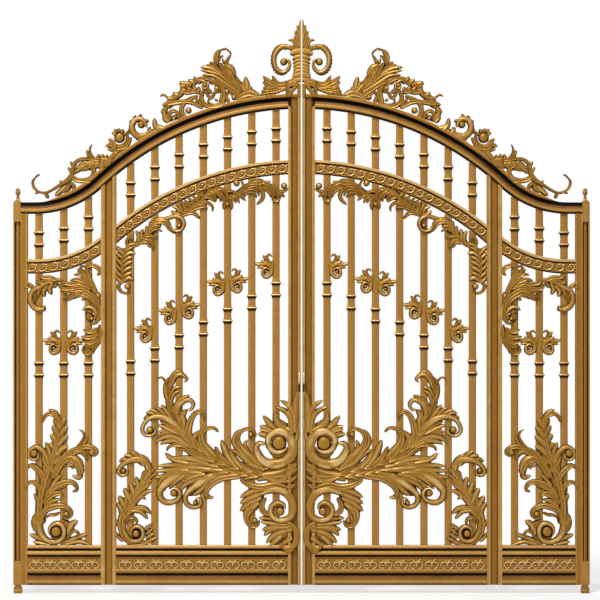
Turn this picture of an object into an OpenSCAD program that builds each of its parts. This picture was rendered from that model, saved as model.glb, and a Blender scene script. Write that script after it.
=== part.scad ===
// Double-leaf cast aluminium driveway gate: arched head, foliage castings, slim hinge posts.
// The origin is the centre of the left post's foot, on the ground. X runs along the gate
// towards the right leaf, the show face looks to -Y, and Z is up.
// A leaf is drawn once, at a distance u from the line where the two leaves meet.

/* [Overall] */
// Distance between the two hinge axes
axis_span = 2960; // [2300:10:3600]
// Clear gap between the closed leaves
leaf_gap = 8; // [8:1:20]
// Height of the leaves' underside above the ground
ground_gap = 44; // [36:1:80]
// Height of the head rail's underside beside the posts
shoulder_z = 1979; // [1640:1:2400]
// Rise of the head rail's underside from the posts to the centre
arch_rise = 549; // [400:1:680]

/* [Frame] */
// Depth of stiles and rails, front to back
frame_d = 44; // [36:1:60]
// Width of the meeting stile
meeting_w = 66; // [50:1:90]
// Width of the mullion between the wide and the narrow bay
mullion_w = 79; // [60:1:100]
// Width of the narrow bay beside the hinge stile
side_bay_w = 383; // [300:1:480]
// Width of the hinge stile's face strip
heel_face_w = 36; // [25:1:50]
// Thickness of the hinge stile's outer wall
heel_wall = 8; // [6:1:14]
// Width of the head rail, square to its curve, without its crest strip
head_w = 60; // [45:1:80]
// Width of the crest strip along the top of the head rail
crest_strip_w = 18; // [10:1:26]
// Radius of the hollow curve where the head sweeps down to the posts
sweep_r = 522; // [420:1:620]
// Level run of the head rail beside the hinge stile
level_run = 35; // [10:1:80]
// Width of the raised bead along the edge of a frame member
bead_w = 18; // [12:1:22]
// Height of the kick rail, from its underside to its top bead
kick_h = 206; // [170:1:260]

/* [Ornamental bands] */
// Width of a band, square to its curve
band_w = 75; // [55:1:95]
// Depth of a band, front to back
band_d = 36; // [26:1:44]
// Drop from the head rail's underside to the wide band's lower edge, at the centre
band_drop = 341; // [280:1:420]
// How much smaller the wide band's radius is than the head rail's
band_tighter = 54; // [0:1:100]
// Drop from the head rail's underside to the narrow band's lower edge, at the posts
side_band_drop = 312; // [260:1:380]
// How much larger the narrow band's radius is than the head's sweep
side_band_easier = 78; // [40:1:120]

/* [Bars] */
// Width of a bar
bar_w = 38; // [26:1:48]
// Depth of a bar, front to back
bar_d = 24; // [18:1:32]
// Chamfer on a bar's four edges
bar_chamfer = 5; // [1:1:8]
// Number of bars in the wide bay
wide_bars = 7; // [5:1:8]
// Number of bars in the narrow bay
side_bars = 3; // [2:1:3]
// Width of a collar on a bar
collar_w = 54; // [50:1:70]
// Depth of a collar on a bar
collar_d = 36; // [34:1:44]
// Height of a collar
collar_h = 11; // [6:1:16]
// Distance between the two collars of a pair
collar_pitch = 63; // [40:1:90]
// Drop from the head rail's underside to the upper collar of a short bar
short_collar_drop = 99; // [60:1:130]
// Drop from the wide band's lower edge at the centre to the first long bar's upper collar
long_collar_drop = 569; // [450:1:650]
// Drop of the collars from one long bar to the next, outwards
long_collar_step = 68; // [0:1:80]
// Drop from the narrow band's lower edge to the collars of its long bars
side_collar_drop = 467; // [350:1:560]

/* [Castings] */
// Depth of a foliage casting, front to back
casting_d = 60; // [58:1:80]
// Clearance between a casting and the members it is fitted over
fit_gap = 0.3; // [0.2:0.1:0.8]
// Widest crevice that a casting closes, as half its width
casting_fillet = 4; // [2:1:8]

/* [Hinge posts] */
// Diameter of a hinge post
post_d = 24; // [20:1:30]
// Radial clearance between a post and the leaf's knuckles
knuckle_gap = 0.05; // [0.02:0.01:0.1]
// Clear space between a post and the hinge stile's channel
channel_gap = 3; // [3:1:6]
// Height of the lower knuckle
lower_knuckle_h = 123; // [60:1:180]
// Height of the upper knuckle
upper_knuckle_h = 104; // [60:1:160]
// Width of a post's square foot
foot_w = 42; // [38:1:60]
// Height of a post's foot
foot_h = 32; // [20:1:34]
// Diameter of the thrust collar under the lower knuckle
thrust_d = 34; // [28:1:40]
// Running gap under the lower knuckle and under the finial
running_gap = 0.3; // [0.2:0.1:1]
// Height of a post's finial
finial_h = 72; // [50:1:100]

/* [Hidden] */

gold = "#b0803e";
dark_gold = "#8f6229";

// Small details of set size
heel_web = 4;
notch_w = 8;
notch_h = 42;
pull_w = 11;
pull_gap = 2.5;
band_bead = 13;
band_floor = 6;
$fn = 48;
big = 4000;
hair = 0.01;

// Places across a leaf, as distances u from the centre line
axis_u = axis_span / 2;
meet_in = leaf_gap / 2;
meet_out = meet_in + meeting_w;
channel_r = post_d / 2 + channel_gap;
heel_channel_in = axis_u - channel_r;
heel_channel_out = axis_u + channel_r;
heel_in = heel_channel_in - heel_face_w;
heel_out = heel_channel_out + heel_wall;
mull_out = heel_in - side_bay_w;
mull_in = mull_out - mullion_w;
wide_bay_w = mull_in - meet_out;

// Heights
kick_top = ground_gap + kick_h;
pull_z = kick_top + 846;
crown_z = shoulder_z + arch_rise;
block_top = shoulder_z + head_w + 2;

// The head rail's underside: an arch round arch_c that meets a hollow sweep round sweep_c
sweep_u = heel_in - level_run;
arch_r = (sweep_u * sweep_u - 2 * sweep_r * arch_rise + arch_rise * arch_rise)
    / (2 * arch_rise);
arch_c = [0, crown_z - arch_r];
sweep_c = [sweep_u, shoulder_z + sweep_r];
turn_angle = atan2(sweep_c[1] - arch_c[1], sweep_c[0] - arch_c[0]);
turn_u = arch_r * cos(turn_angle);

// The bands' lower edges
band_r = arch_r - band_tighter;
band_crown = crown_z - band_drop;
band_c = [0, band_crown - band_r];
side_band_r = sweep_r + side_band_easier;
side_band_z = shoulder_z - side_band_drop;
side_band_c = [sweep_u - 15, side_band_z + side_band_r];

// The bays as drawn: bars' places and castings' sizes follow the real ones
drawn_wide_bay = 898;
drawn_side_bay = 383;
drawn_sweep_u = 1395;
drawn_crown_z = 2528;
drawn_frame_d = 44;
drawn_finial_h = 72;
wide_k = wide_bay_w / drawn_wide_bay;
side_k = side_bay_w / drawn_side_bay;
head_k = sweep_u / drawn_sweep_u;

// Bars: a space beside each frame member, then an even pitch
wide_first = 63 * wide_k;
wide_last = 75 * wide_k;
wide_pitch = (wide_bay_w - wide_first - wide_last) / (wide_bars - 1);
wide_u = [for (i = [0 : wide_bars - 1]) meet_out + wide_first + i * wide_pitch];
side_first = 66 * side_k;
side_last = 59 * side_k;
side_pitch = (side_bay_w - side_first - side_last) / (side_bars - 1);
side_u = [for (i = [0 : side_bars - 1]) mull_out + side_first + i * side_pitch];

// Height of the head rail's underside, and of the bands' lower edges, at a distance u
function arch_z(c, r, u) = c[1] + sqrt(max(0, r * r - u * u));
function sweep_z(c, r, u) = u > c[0] ? c[1] - r
    : c[1] - sqrt(max(0, r * r - (c[0] - u) * (c[0] - u)));
function head_z(u) = u < turn_u ? arch_z(arch_c, arch_r, u) : sweep_z(sweep_c, sweep_r, u);
function wide_band_z(u) = arch_z(band_c, band_r, u);
function side_band_low_z(u) = sweep_z(side_band_c, side_band_r, u);

// Drawn places along the curves: a rise over the head's crest strip, or a drop under
// the wide band's lower edge
function head_top_z(u) = u < turn_u * (arch_r + head_w + crest_strip_w) / arch_r
    ? arch_z(arch_c, arch_r + head_w + crest_strip_w, u)
    : sweep_z(sweep_c, sweep_r - head_w - crest_strip_w, u);
over_head = function (q) [q[0] * head_k, head_top_z(q[0] * head_k) + q[1]];
under_band = function (q) [q[0] * wide_k, wide_band_z(q[0] * wide_k) - q[1]];

// ---- Curves for the castings ----

// Where a casting's drawn points go, and how its widths grow: a casting may set these
// for its own pieces
$place = function (q) q;
$grow = 1;

function at_end(p, i) = p[max(0, min(len(p) - 1, i))];
// Catmull-Rom point between p[i] and p[i + 1]
function curve_point(p, i, t) =
    let (a = at_end(p, i - 1), b = p[i], c = at_end(p, i + 1), d = at_end(p, i + 2))
    0.5 * (2 * b + (c - a) * t + (2 * a - 5 * b + 4 * c - d) * t * t
        + (3 * b - a - 3 * c + d) * t * t * t);
function curve(drawn, steps) = let (p = [for (q = drawn) $place(q)]) concat(
    [for (i = [0 : len(p) - 2], s = [0 : steps - 1]) curve_point(p, i, s / steps)],
    [p[len(p) - 1]]);
function side_of(q, i) =
    let (d = at_end(q, i + 1) - at_end(q, i - 1)) [-d[1], d[0]] / max(norm(d), hair);
// Outline round a line q, with half-widths h along it
function outline(q, h) = concat(
    [for (i = [0 : len(q) - 1]) q[i] + side_of(q, i) * h[i]],
    [for (i = [len(q) - 1 : -1 : 0]) q[i] - side_of(q, i) * h[i]]);
function taper(n, a, b) = [for (i = [0 : n]) a + (b - a) * i / n];
function blade(n, w, lobes) = [for (i = [0 : n]) let (t = i / n)
    max(0.8, w * pow(sin(180 * pow(t, 0.75)), 0.7)
        * (0.75 + 0.25 * abs(sin(180 * lobes * t))))];

// A stem of changing width along points
module stem(p, w0, w1, steps = 3) {
    q = curve(p, steps);
    polygon(outline(q, taper(len(q) - 1, w0 * $grow / 2, w1 * $grow / 2)));
}

// A lobed leaf along points, w wide at its middle
module leaf(p, w, lobes = 3, steps = 5) {
    q = curve(p, steps);
    polygon(outline(q, blade(len(q) - 1, w * $grow / 2, lobes)));
}

// A scroll winding in from radius r, round a ball; turn is 1 or -1
module scroll(c, radius, start, turn = 1, band = 0.3, sweep = 400) {
    n = 14;
    r = radius * $grow;
    q = [for (i = [0 : n]) let (a = start + turn * sweep * i / n,
        s = r * (1 - band / 2) * (1 - 0.55 * i / n)) $place(c) + s * [cos(a), sin(a)]];
    polygon(outline(q, taper(n, r * band / 2, r * band / 3)));
    translate($place(c)) circle(r * 0.38, $fn = 12);
}

// A hooked leaf: a stem that ends in a small curl
module hook(p, w, ball_r) {
    leaf(p, w, 2, 4);
    stem(p, w * 0.5, ball_r);
    translate($place(p[len(p) - 1])) circle(ball_r * $grow, $fn = 10);
}

// ---- Placing ----

module slab(d) {
    rotate([90, 0, 0]) linear_extrude(height = d, center = true) children();
}

module left_leaf() {
    translate([axis_u, 0, 0]) mirror([1, 0, 0]) children();
}

module right_leaf() {
    translate([axis_u, 0, 0]) children();
}

// A ring sector in the gate's plane, from angle a0 to a1, of the profile given
module arc_sweep(c, a0, a1) {
    translate([c[0], 0, c[1]]) rotate([90, 0, 0]) rotate([0, 0, a0])
        rotate_extrude(angle = a1 - a0, $fn = 360) children();
}

// What lies above a hollow sweep's edge of radius r round c, and above its level run
module above_sweep(c, r) {
    translate(c) circle(r, $fn = 180);
    translate([c[0], c[1] - r]) square([big, big]);
}

// What lies below the head rail's underside, grow further out
module below_head(grow = 0) {
    intersection() {
        translate(arch_c) circle(arch_r + grow, $fn = 360);
        translate([-big, 0]) square([big + turn_u, big]);
    }
    difference() {
        translate([turn_u, 0]) square([big, sweep_c[1]]);
        above_sweep(sweep_c, sweep_r - grow);
    }
}

// ---- Frame members ----

// A moulding's section, w wide: beads along both edges and a floor that slopes between
module moulding(w, d, bead_a, bead_b, deep_a, deep_b) {
    h = d / 2;
    polygon([[0, h], [bead_a, h], [bead_a, h - deep_a], [w - bead_b, h - deep_b],
        [w - bead_b, h], [w, h], [w, -h], [w - bead_b, -h], [w - bead_b, deep_b - h],
        [bead_a, deep_a - h], [bead_a, -h], [0, -h]]);
}

floor_deep = frame_d * 0.38;
floor_shallow = frame_d * 0.12;
stile_floor = floor_deep * 0.7;

module stile_bar(u, w, bead_a, bead_b) {
    intersection() {
        translate([u, 0, ground_gap]) linear_extrude(height = big)
            moulding(w, frame_d, bead_a, bead_b, stile_floor, stile_floor);
        children();
    }
}

module meeting_stile() {
    color(gold) difference() {
        stile_bar(meet_in, meeting_w, bead_w - 2, bead_w)
            slab(2 * frame_d) translate(arch_c)
                circle(arch_r + head_w + crest_strip_w, $fn = 360);
        // The head rail's channel runs on into the stile's
        for (y = [-1, 1])
            translate([meet_out - bead_w - 1, y * (frame_d - stile_floor) - frame_d / 2,
                crown_z + bead_w]) cube([bead_w + 2, frame_d, head_w - bead_w]);
        // Keyhole notch under the pull
        translate([meet_in - 1, -frame_d, pull_z - notch_h - 5])
            cube([notch_w + 1, frame_d - heel_web, notch_h]);
    }
}

module mullion() {
    color(gold) stile_bar(mull_in, mullion_w, bead_w + 4, bead_w + 7)
        slab(2 * frame_d) below_head();
}

// The hinge stile: a face strip, a channel round the post closed by a web at the back,
// an outer wall, and a bored knuckle at each end
module heel_stile() {
    color(gold) difference() {
        union() {
            translate([heel_in, -frame_d / 2, ground_gap])
                cube([heel_face_w, frame_d, shoulder_z - ground_gap]);
            translate([heel_channel_out, -frame_d / 2, ground_gap])
                cube([heel_wall, frame_d, block_top - ground_gap]);
            translate([heel_channel_in - hair, frame_d / 2 - heel_web, ground_gap])
                cube([2 * channel_r + 2 * hair, heel_web, block_top - ground_gap]);
            translate([heel_channel_in - hair, -frame_d / 2, ground_gap])
                cube([2 * channel_r + 2 * hair, frame_d, lower_knuckle_h]);
            translate([heel_channel_in, -frame_d / 2, block_top - upper_knuckle_h])
                cube([2 * channel_r + hair, frame_d, upper_knuckle_h]);
        }
        translate([axis_u, 0, 0]) cylinder(r = post_d / 2 + knuckle_gap, h = big);
    }
}

// The head rail's section: a bead along its underside, a floor that slopes inwards and
// the crest strip along its top
module crested_section() {
    h = frame_d / 2;
    low = h - floor_shallow;
    high = h - floor_deep;
    top = head_w + crest_strip_w;
    polygon([[0, h], [bead_w, h], [bead_w, low], [head_w, high], [head_w, h], [top, h],
        [top, -h], [head_w, -h], [head_w, -high], [bead_w, -low], [bead_w, -h], [0, -h]]);
}

// One side of the plane where the arch turns into the sweep: 1 is the arch's, -1 the
// sweep's
module turn_side(side) {
    turn_z = arch_c[1] + arch_r * sin(turn_angle);
    translate([turn_u, 0, turn_z]) rotate([0, -turn_angle, 0])
        translate([-big / 2, -frame_d, (side - 1) * big / 2])
            cube([big, 2 * frame_d, big]);
}

// The head rail is cast in two lengths: the arch over the wide bay
module head_arch() {
    color(gold) intersection() {
        arc_sweep(arch_c, 0, 90) translate([arch_r, 0]) crested_section();
        translate([meet_out, -frame_d, 0]) cube([big, 2 * frame_d, big]);
        turn_side(1);
    }
}

// And the hollow sweep with its level run; the crest strip runs out before that run
module head_sweep() {
    strip_end = 263;
    nick = 0.5;
    color(gold) difference() {
        union() {
            arc_sweep(sweep_c, 180, 270)
                translate([sweep_r, 0]) mirror([1, 0]) crested_section();
            translate([sweep_u, 0, shoulder_z]) rotate([0, 90, 0]) rotate([0, 0, 180])
                linear_extrude(height = heel_channel_in - sweep_u) crested_section();
        }
        turn_side(1);
        arc_sweep(sweep_c, strip_end, 270)
            translate([sweep_r - 2 * head_w + nick, -frame_d])
                square([head_w, 2 * frame_d]);
        translate([sweep_u, -frame_d, shoulder_z + head_w - nick])
            cube([big, 2 * frame_d, head_w]);
    }
}

// One side of the kick rail's mouldings, as [depth, height]: the lower one from its
// underside, the upper one from the panel's top edge
kick_lower = [[22, 0], [22, 20], [20, 23], [12, 46], [9, 47], [9, 52], [14, 54],
    [17, 66], [20, 69], [20, 81], [17, 84]];
kick_upper = [[17, 0], [17, 5], [20, 9], [20, 20], [16, 23], [15, 31], [21, 35],
    [22, 40], [22, 60], [16, 67]];
kick_lower_h = 84;
kick_upper_h = 67;

function both_sides(p) = let (s = frame_d / drawn_frame_d) concat(
    [for (q = p) [q[0] * s, q[1]]],
    [for (i = [len(p) - 1 : -1 : 0]) [-p[i][0] * s, p[i][1]]]);

module kick_run(u0, u1) {
    translate([u0, 0, ground_gap]) rotate([90, 0, 90]) linear_extrude(height = u1 - u0) {
        polygon(both_sides(kick_lower));
        translate([0, kick_h - kick_upper_h]) polygon(both_sides(kick_upper));
    }
}

module kick_rail() {
    color(gold) {
        kick_run(meet_out, mull_in);
        kick_run(mull_out, heel_in);
    }
}

module kick_panels() {
    panel_d = frame_d * 0.7;
    color(dark_gold) for (bay = [[meet_out, mull_in], [mull_out, heel_in]])
        translate([bay[0], -panel_d / 2, ground_gap + kick_lower_h])
            cube([bay[1] - bay[0], panel_d, kick_h - kick_lower_h - kick_upper_h]);
}

module band_section() {
    moulding(band_w, band_d, band_bead, band_bead, band_floor, band_floor);
}

module bands() {
    color(gold) {
        intersection() {
            arc_sweep(band_c, 0, 90) translate([band_r, 0]) band_section();
            translate([meet_out, -frame_d, 0]) cube([wide_bay_w, 2 * frame_d, big]);
        }
        intersection() {
            union() {
                arc_sweep(side_band_c, 180, 270)
                    translate([side_band_r, 0]) mirror([1, 0]) band_section();
                translate([side_band_c[0], 0, side_band_z]) rotate([0, 90, 0])
                    rotate([0, 0, 180]) linear_extrude(height = heel_in - side_band_c[0])
                        band_section();
            }
            translate([mull_out, -frame_d, 0]) cube([side_bay_w, 2 * frame_d, big]);
        }
    }
}

// ---- Bars ----

module bar_section(grow = 0) {
    w = bar_w / 2 + grow;
    d = bar_d / 2 + grow;
    c = bar_chamfer;
    polygon([[-w, c - d], [c - w, -d], [w - c, -d], [w, c - d], [w, d - c], [w - c, d],
        [c - w, d], [-w, d - c]]);
}

module collar(u, z, grow = 0) {
    translate([u - collar_w / 2 - grow, -collar_d / 2 - grow, z - collar_h / 2 - grow])
        cube([collar_w + 2 * grow, collar_d + 2 * grow, collar_h + 2 * grow]);
}

module bars_at(us, top, grow = 0) {
    for (u = us)
        translate([u, 0, kick_top]) linear_extrude(height = top - kick_top) bar_section(grow);
}

function wide_collar_z(i) = band_crown - long_collar_drop - i * long_collar_step;
side_collar_z = side_band_z - side_collar_drop;

module long_collars(grow = 0) {
    for (i = [0 : wide_bars - 1], k = [0, 1])
        collar(wide_u[i], wide_collar_z(i) - k * collar_pitch, grow);
    for (u = side_u, k = [0, 1]) collar(u, side_collar_z - k * collar_pitch, grow);
}

module long_bars() {
    color(gold) {
        intersection() {
            bars_at(wide_u, crown_z);
            slab(frame_d) translate(band_c) circle(band_r, $fn = 360);
        }
        difference() {
            bars_at(side_u, side_band_c[1]);
            slab(frame_d) above_sweep(side_band_c, side_band_r);
        }
        long_collars();
    }
}

module short_bars() {
    color(gold) {
        intersection() {
            difference() {
                bars_at(wide_u, crown_z);
                slab(frame_d) translate(band_c) circle(band_r + band_w, $fn = 360);
            }
            slab(frame_d) below_head();
        }
        intersection() {
            bars_at(side_u, crown_z);
            slab(frame_d) above_sweep(side_band_c, side_band_r - band_w);
            slab(frame_d) below_head();
        }
        for (u = concat(wide_u, side_u), k = [0, 1])
            collar(u, head_z(u) - short_collar_drop - k * collar_pitch);
    }
}

// ---- Castings ----

// A casting's body: its outline with softened inner corners
module cast_plate(d = casting_d) {
    slab(d) offset(delta = -casting_fillet) offset(delta = casting_fillet) children();
}

// The room that a casting leaves for the frame of its leaf
module frame_room() {
    room = frame_d + 2 * fit_gap;
    slab(room) difference() {
        translate([0, -big]) square([big, 3 * big]);
        translate([meet_out + fit_gap, kick_top + fit_gap])
            square([wide_bay_w - 2 * fit_gap, big]);
        translate([mull_out + fit_gap, kick_top + fit_gap])
            square([side_bay_w - 2 * fit_gap, big]);
    }
}

// The room that it leaves for the other leaf
module other_leaf_room() {
    slab(2 * casting_d) translate([-big, -big]) square([big + meet_in + leaf_gap, 3 * big]);
}

module bars_room() {
    bars_at(concat(wide_u, side_u), crown_z, fit_gap);
    long_collars(fit_gap);
}

module wide_band_room() {
    slab(band_d + 2 * fit_gap) difference() {
        translate(band_c) circle(band_r + band_w + fit_gap, $fn = 360);
        translate(band_c) circle(band_r - fit_gap, $fn = 360);
    }
}

module side_band_room() {
    slab(band_d + 2 * fit_gap) above_sweep(side_band_c, side_band_r + fit_gap);
}

module head_room() {
    slab(2 * casting_d) below_head(head_w + crest_strip_w + fit_gap);
}

// Crown finial: half a flame leaf, a ringed body, one volute and a root of leaves
module crown_finial() {
    rise = crown_z - drawn_crown_z;
    color(gold) difference() {
        intersection() {
            translate([0, 0, rise]) cast_plate() {
                polygon([[0, 2994], [8, 2994], [18, 2960], [30, 2930], [26, 2915],
                    [37, 2885], [33, 2870], [44, 2850], [0, 2835]]);
                stem([[0, 2828], [40, 2828], [62, 2812]], 26, 20);
                translate([0, 2684]) square([42, 130]);
                scroll([95, 2770], 55, 110, 1, 0.28);
                stem([[50, 2830], [75, 2840], [95, 2828]], 20, 16);
                leaf([[70, 2838], [55, 2870], [60, 2890]], 18, 1);
                stem([[0, 2690], [40, 2680], [90, 2672]], 30, 24);
                leaf([[20, 2680], [110, 2660], [210, 2700]], 60, 3);
                leaf([[20, 2665], [130, 2640], [205, 2612]], 50, 3);
                leaf([[20, 2670], [60, 2640], [80, 2595]], 34, 2);
                stem([[4, 2690], [10, 2640], [10, 2590]], 22, 14);
            }
            translate([meet_in, -casting_d, 0]) cube([big, 2 * casting_d, big]);
        }
        head_room();
    }
}

// Large crest spray on the arch
module crest_spray() {
    $place = over_head;
    $grow = head_k;
    color(gold) difference() {
        cast_plate() {
            leaf([[262, 20], [310, 110], [390, 170], [470, 190], [530, 225]], 100, 4);
            leaf([[275, 30], [345, 120], [390, 180], [480, 245]], 70, 4);
            hook([[330, 70], [400, 165], [445, 235], [422, 292], [375, 262]], 36, 9);
            leaf([[300, 20], [300, 80], [288, 112]], 24, 1);
            scroll([485, 72], 64, 60, 1, 0.28);
            stem([[412, 0], [428, 75], [470, 130], [520, 170]], 22, 12);
            leaf([[480, 130], [560, 180], [645, 188]], 38, 2);
            leaf([[500, 35], [580, 85], [665, 108]], 38, 3);
            leaf([[520, 15], [630, 85], [730, 92]], 56, 4);
            scroll([592, 32], 38, 0, -1, 0.44);
            scroll([668, 30], 36, 180, 1, 0.44);
            stem([[660, -4], [675, 40], [690, 80]], 16, 12);
            stem([[250, -4], [420, -4], [600, -4], [725, -4]], 20, 16);
            scroll([350, 30], 40, 200, -1, 0.34);
        }
        head_room();
    }
}

// Smaller scrolls and the tail that runs out towards the post
module crest_scrolls() {
    $place = over_head;
    $grow = head_k;
    color(gold) difference() {
        cast_plate() {
            scroll([845, 58], 56, 20, 1, 0.28);
            leaf([[800, 40], [770, 70], [738, 8]], 28, 2);
            stem([[738, -4], [800, -4], [880, 0]], 20, 18);
            scroll([955, 84], 40, 60, -1, 0.32);
            leaf([[930, 90], [985, 122], [1022, 90]], 28, 2);
            stem([[890, 0], [925, 40], [975, 40], [985, -4]], 24, 20);
            scroll([1095, 78], 92, 40, 1, 0.22, 330);
            leaf([[1050, 100], [1110, 150], [1105, 178]], 26, 1);
            leaf([[1000, 35], [1050, 90], [1120, 172]], 32, 3);
            stem([[990, -6], [1100, -6], [1200, -6], [1300, -6]], 24, 16);
            leaf([[1140, 60], [1190, 55], [1225, 10]], 44, 3);
            stem([[1180, 85], [1230, 60], [1290, 32], [1340, 22], [1392, 56], [1403, 90],
                [1380, 125]], 20, 8);
            stem([[1290, 36], [1290, -20]], 18, 34);
        }
        head_room();
    }
}

// Garland under the wide band
module garland() {
    $place = under_band;
    $grow = wide_k;
    color(gold) difference() {
        cast_plate() {
            leaf([[950, 20], [935, 135], [885, 245]], 100, 4);
            scroll([920, 262], 30, 90, -1, 0.34);
            stem([[905, 175], [895, 235], [918, 268]], 24, 18);
            leaf([[905, 50], [830, 45], [740, 30]], 90, 5);
            scroll([640, 92], 44, 0, 1, 0.32);
            stem([[745, 35], [700, 45], [660, 45], [600, 40], [530, 30]], 38, 30);
            leaf([[560, 35], [510, 20], [480, 55], [460, 120]], 48, 2);
            leaf([[520, 25], [450, 25], [385, 40]], 48, 2);
            stem([[385, -5], [385, 75], [385, 122]], 50, 22);
            stem([[385, 40], [340, 20], [260, 50], [205, 25]], 30, 24);
            scroll([338, 30], 28, 90, 1, 0.36);
            leaf([[212, 10], [215, 80], [232, 145]], 42, 3);
            stem([[135, -5], [135, 80], [135, 138]], 50, 26);
            stem([[230, 45], [180, 35], [90, 50]], 26, 20);
            scroll([96, 55], 24, 180, 1, 0.4);
        }
        frame_room();
        bars_room();
        wide_band_room();
    }
}

// The wide bay's large acanthus grows from the meeting stile's foot
module main_acanthus() {
    color(gold) difference() {
        translate([meet_out, 0, kick_top]) cast_plate() scale([wide_k, min(wide_k, 1)]) {
            stem([[-46, 415], [40, 385], [135, 380], [225, 390], [330, 420], [435, 470],
                [510, 550], [565, 625], [600, 755], [590, 860]], 80, 30);
            scroll([53, 525], 100, 250, 1, 0.34, 350);
            stem([[165, 545], [140, 480], [135, 440], [60, 425]], 34, 44);
            leaf([[-40, 560], [-10, 660], [37, 765]], 46, 2);
            leaf([[-30, 575], [20, 660], [70, 728]], 46, 2);
            leaf([[-30, 610], [60, 640], [134, 676]], 50, 3);
            leaf([[20, 615], [90, 620], [150, 622]], 34, 2);
            hook([[200, 400], [262, 490], [262, 580], [222, 612], [196, 582]], 52, 20);
            hook([[329, 430], [430, 520], [425, 600], [385, 612], [362, 592]], 52, 14);
            hook([[400, 470], [500, 590], [520, 670], [480, 712], [452, 695]], 54, 14);
            hook([[470, 540], [570, 660], [575, 735], [540, 775], [508, 765]], 50, 13);
            hook([[540, 640], [640, 720], [705, 770], [700, 830], [655, 850]], 54, 13);
            hook([[590, 740], [640, 840], [610, 895], [560, 885], [535, 855]], 44, 14);
            leaf([[560, 660], [660, 640], [730, 680]], 60, 3);
            leaf([[480, 520], [620, 620], [700, 640]], 70, 4);
            scroll([722, 608], 44, 60, -1, 0.36);
            leaf([[420, 500], [560, 540], [720, 530]], 80, 4);
            leaf([[380, 430], [560, 450], [690, 440]], 90, 5);
            leaf([[380, 410], [560, 400], [690, 375]], 70, 4);
            leaf([[340, 400], [480, 360], [600, 340]], 70, 4);
            leaf([[420, 400], [560, 350], [650, 320]], 80, 4);
            scroll([598, 277], 50, 40, 1, 0.36);
            leaf([[330, 400], [450, 330], [560, 290]], 80, 4);
            scroll([480, 220], 56, 60, 1, 0.34);
            leaf([[400, 360], [420, 290], [500, 240]], 50, 3);
            leaf([[330, 380], [400, 330], [430, 272]], 50, 3);
            leaf([[200, 370], [300, 350], [372, 300], [380, 250]], 60, 4);
            scroll([42, 175], 84, 110, -1, 0.3, 380);
            stem([[-40, 200], [-36, 290], [60, 350], [200, 370]], 40, 50);
            leaf([[180, 340], [240, 300], [250, 245]], 60, 3);
            hook([[120, 330], [150, 230], [205, 150], [173, 131]], 40, 19);
            leaf([[-40, 290], [-10, 360], [60, 400]], 40, 2);
            leaf([[-36, 110], [60, 90], [140, 80]], 70, 3);
            leaf([[-38, 100], [0, 50], [90, 20]], 60, 3);
            stem([[-40, 130], [-30, 50], [10, -22]], 34, 20);
        }
        frame_room();
        bars_room();
        other_leaf_room();
    }
}

// Its smaller one grows from the mullion's foot
module inner_acanthus() {
    color(gold) difference() {
        translate([mull_in, 0, kick_top]) mirror([1, 0, 0]) cast_plate()
            scale([wide_k, min(wide_k, 1)]) {
            scroll([103, 65], 50, 100, -1, 0.32);
            stem([[20, 0], [22, 90], [35, 165], [70, 250], [130, 330], [172, 385],
                [150, 440], [105, 458]], 46, 22);
            scroll([46, 380], 34, 30, 1, 0.34);
            stem([[100, 462], [60, 440], [40, 412]], 22, 16);
            leaf([[70, 240], [150, 280], [182, 330]], 44, 3);
            leaf([[50, 180], [130, 200], [180, 170]], 54, 3);
            leaf([[40, 130], [110, 150], [160, 130]], 40, 2);
            leaf([[60, 240], [40, 300], [22, 290]], 36, 2);
            leaf([[80, 280], [70, 340], [98, 370]], 36, 2);
            leaf([[20, 20], [100, 14], [182, 12]], 28, 3);
        }
        frame_room();
        bars_room();
    }
}

module wide_acanthus() {
    main_acanthus();
    inner_acanthus();
}

// The narrow bay's acanthus
module side_acanthus() {
    color(gold) difference() {
        translate([mull_out, 0, kick_top]) cast_plate() scale([side_k, min(side_k, 1)]) {
            scroll([243, 70], 68, 60, 1, 0.3);
            stem([[300, 20], [320, 90], [328, 160], [318, 240], [293, 340], [253, 420],
                [225, 500], [225, 580], [240, 650]], 64, 30);
            hook([[235, 630], [262, 690], [290, 702], [308, 645]], 40, 10);
            leaf([[225, 560], [262, 600], [280, 640]], 40, 2);
            scroll([350, 480], 34, 200, -1, 0.34);
            leaf([[280, 400], [330, 430], [352, 440]], 50, 3);
            leaf([[300, 320], [345, 360], [362, 350]], 44, 2);
            leaf([[250, 430], [150, 480], [42, 478]], 64, 4);
            leaf([[240, 470], [170, 540], [110, 560]], 50, 3);
            leaf([[280, 360], [180, 400], [92, 368]], 60, 4);
            leaf([[300, 280], [210, 320], [145, 280]], 54, 3);
            scroll([180, 165], 34, 0, -1, 0.34);
            stem([[305, 240], [250, 230], [205, 195]], 34, 18);
            leaf([[300, 30], [200, 14], [60, 16]], 40, 3);
            leaf([[280, 24], [330, 40], [368, 52]], 40, 2);
        }
        frame_room();
        bars_room();
    }
}

// The spray on the mullion under the narrow bay's band
module side_spray() {
    color(gold) difference() {
        translate([mull_out, 0, side_band_z]) cast_plate() scale([side_k, min(side_k, 1)]) {
            stem([[8, -220], [5, -160], [20, -110], [58, -75], [95, -50]], 40, 30);
            leaf([[30, -110], [110, -100], [215, -60]], 80, 4);
            leaf([[30, -130], [120, -130], [205, -140]], 60, 4);
            leaf([[60, -80], [110, -40], [145, 20]], 70, 3);
            hook([[60, -60], [62, 20], [35, 40], [14, 16]], 36, 10);
            scroll([46, -235], 32, 100, 1, 0.36);
            leaf([[20, -250], [60, -300], [92, -325]], 60, 3);
            leaf([[16, -280], [40, -350], [60, -398]], 44, 3);
            leaf([[190, -50], [280, -40], [345, -85]], 60, 3);
            hook([[320, -70], [362, -120], [350, -180], [305, -200]], 34, 10);
        }
        frame_room();
        bars_room();
        side_band_room();
    }
}

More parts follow.
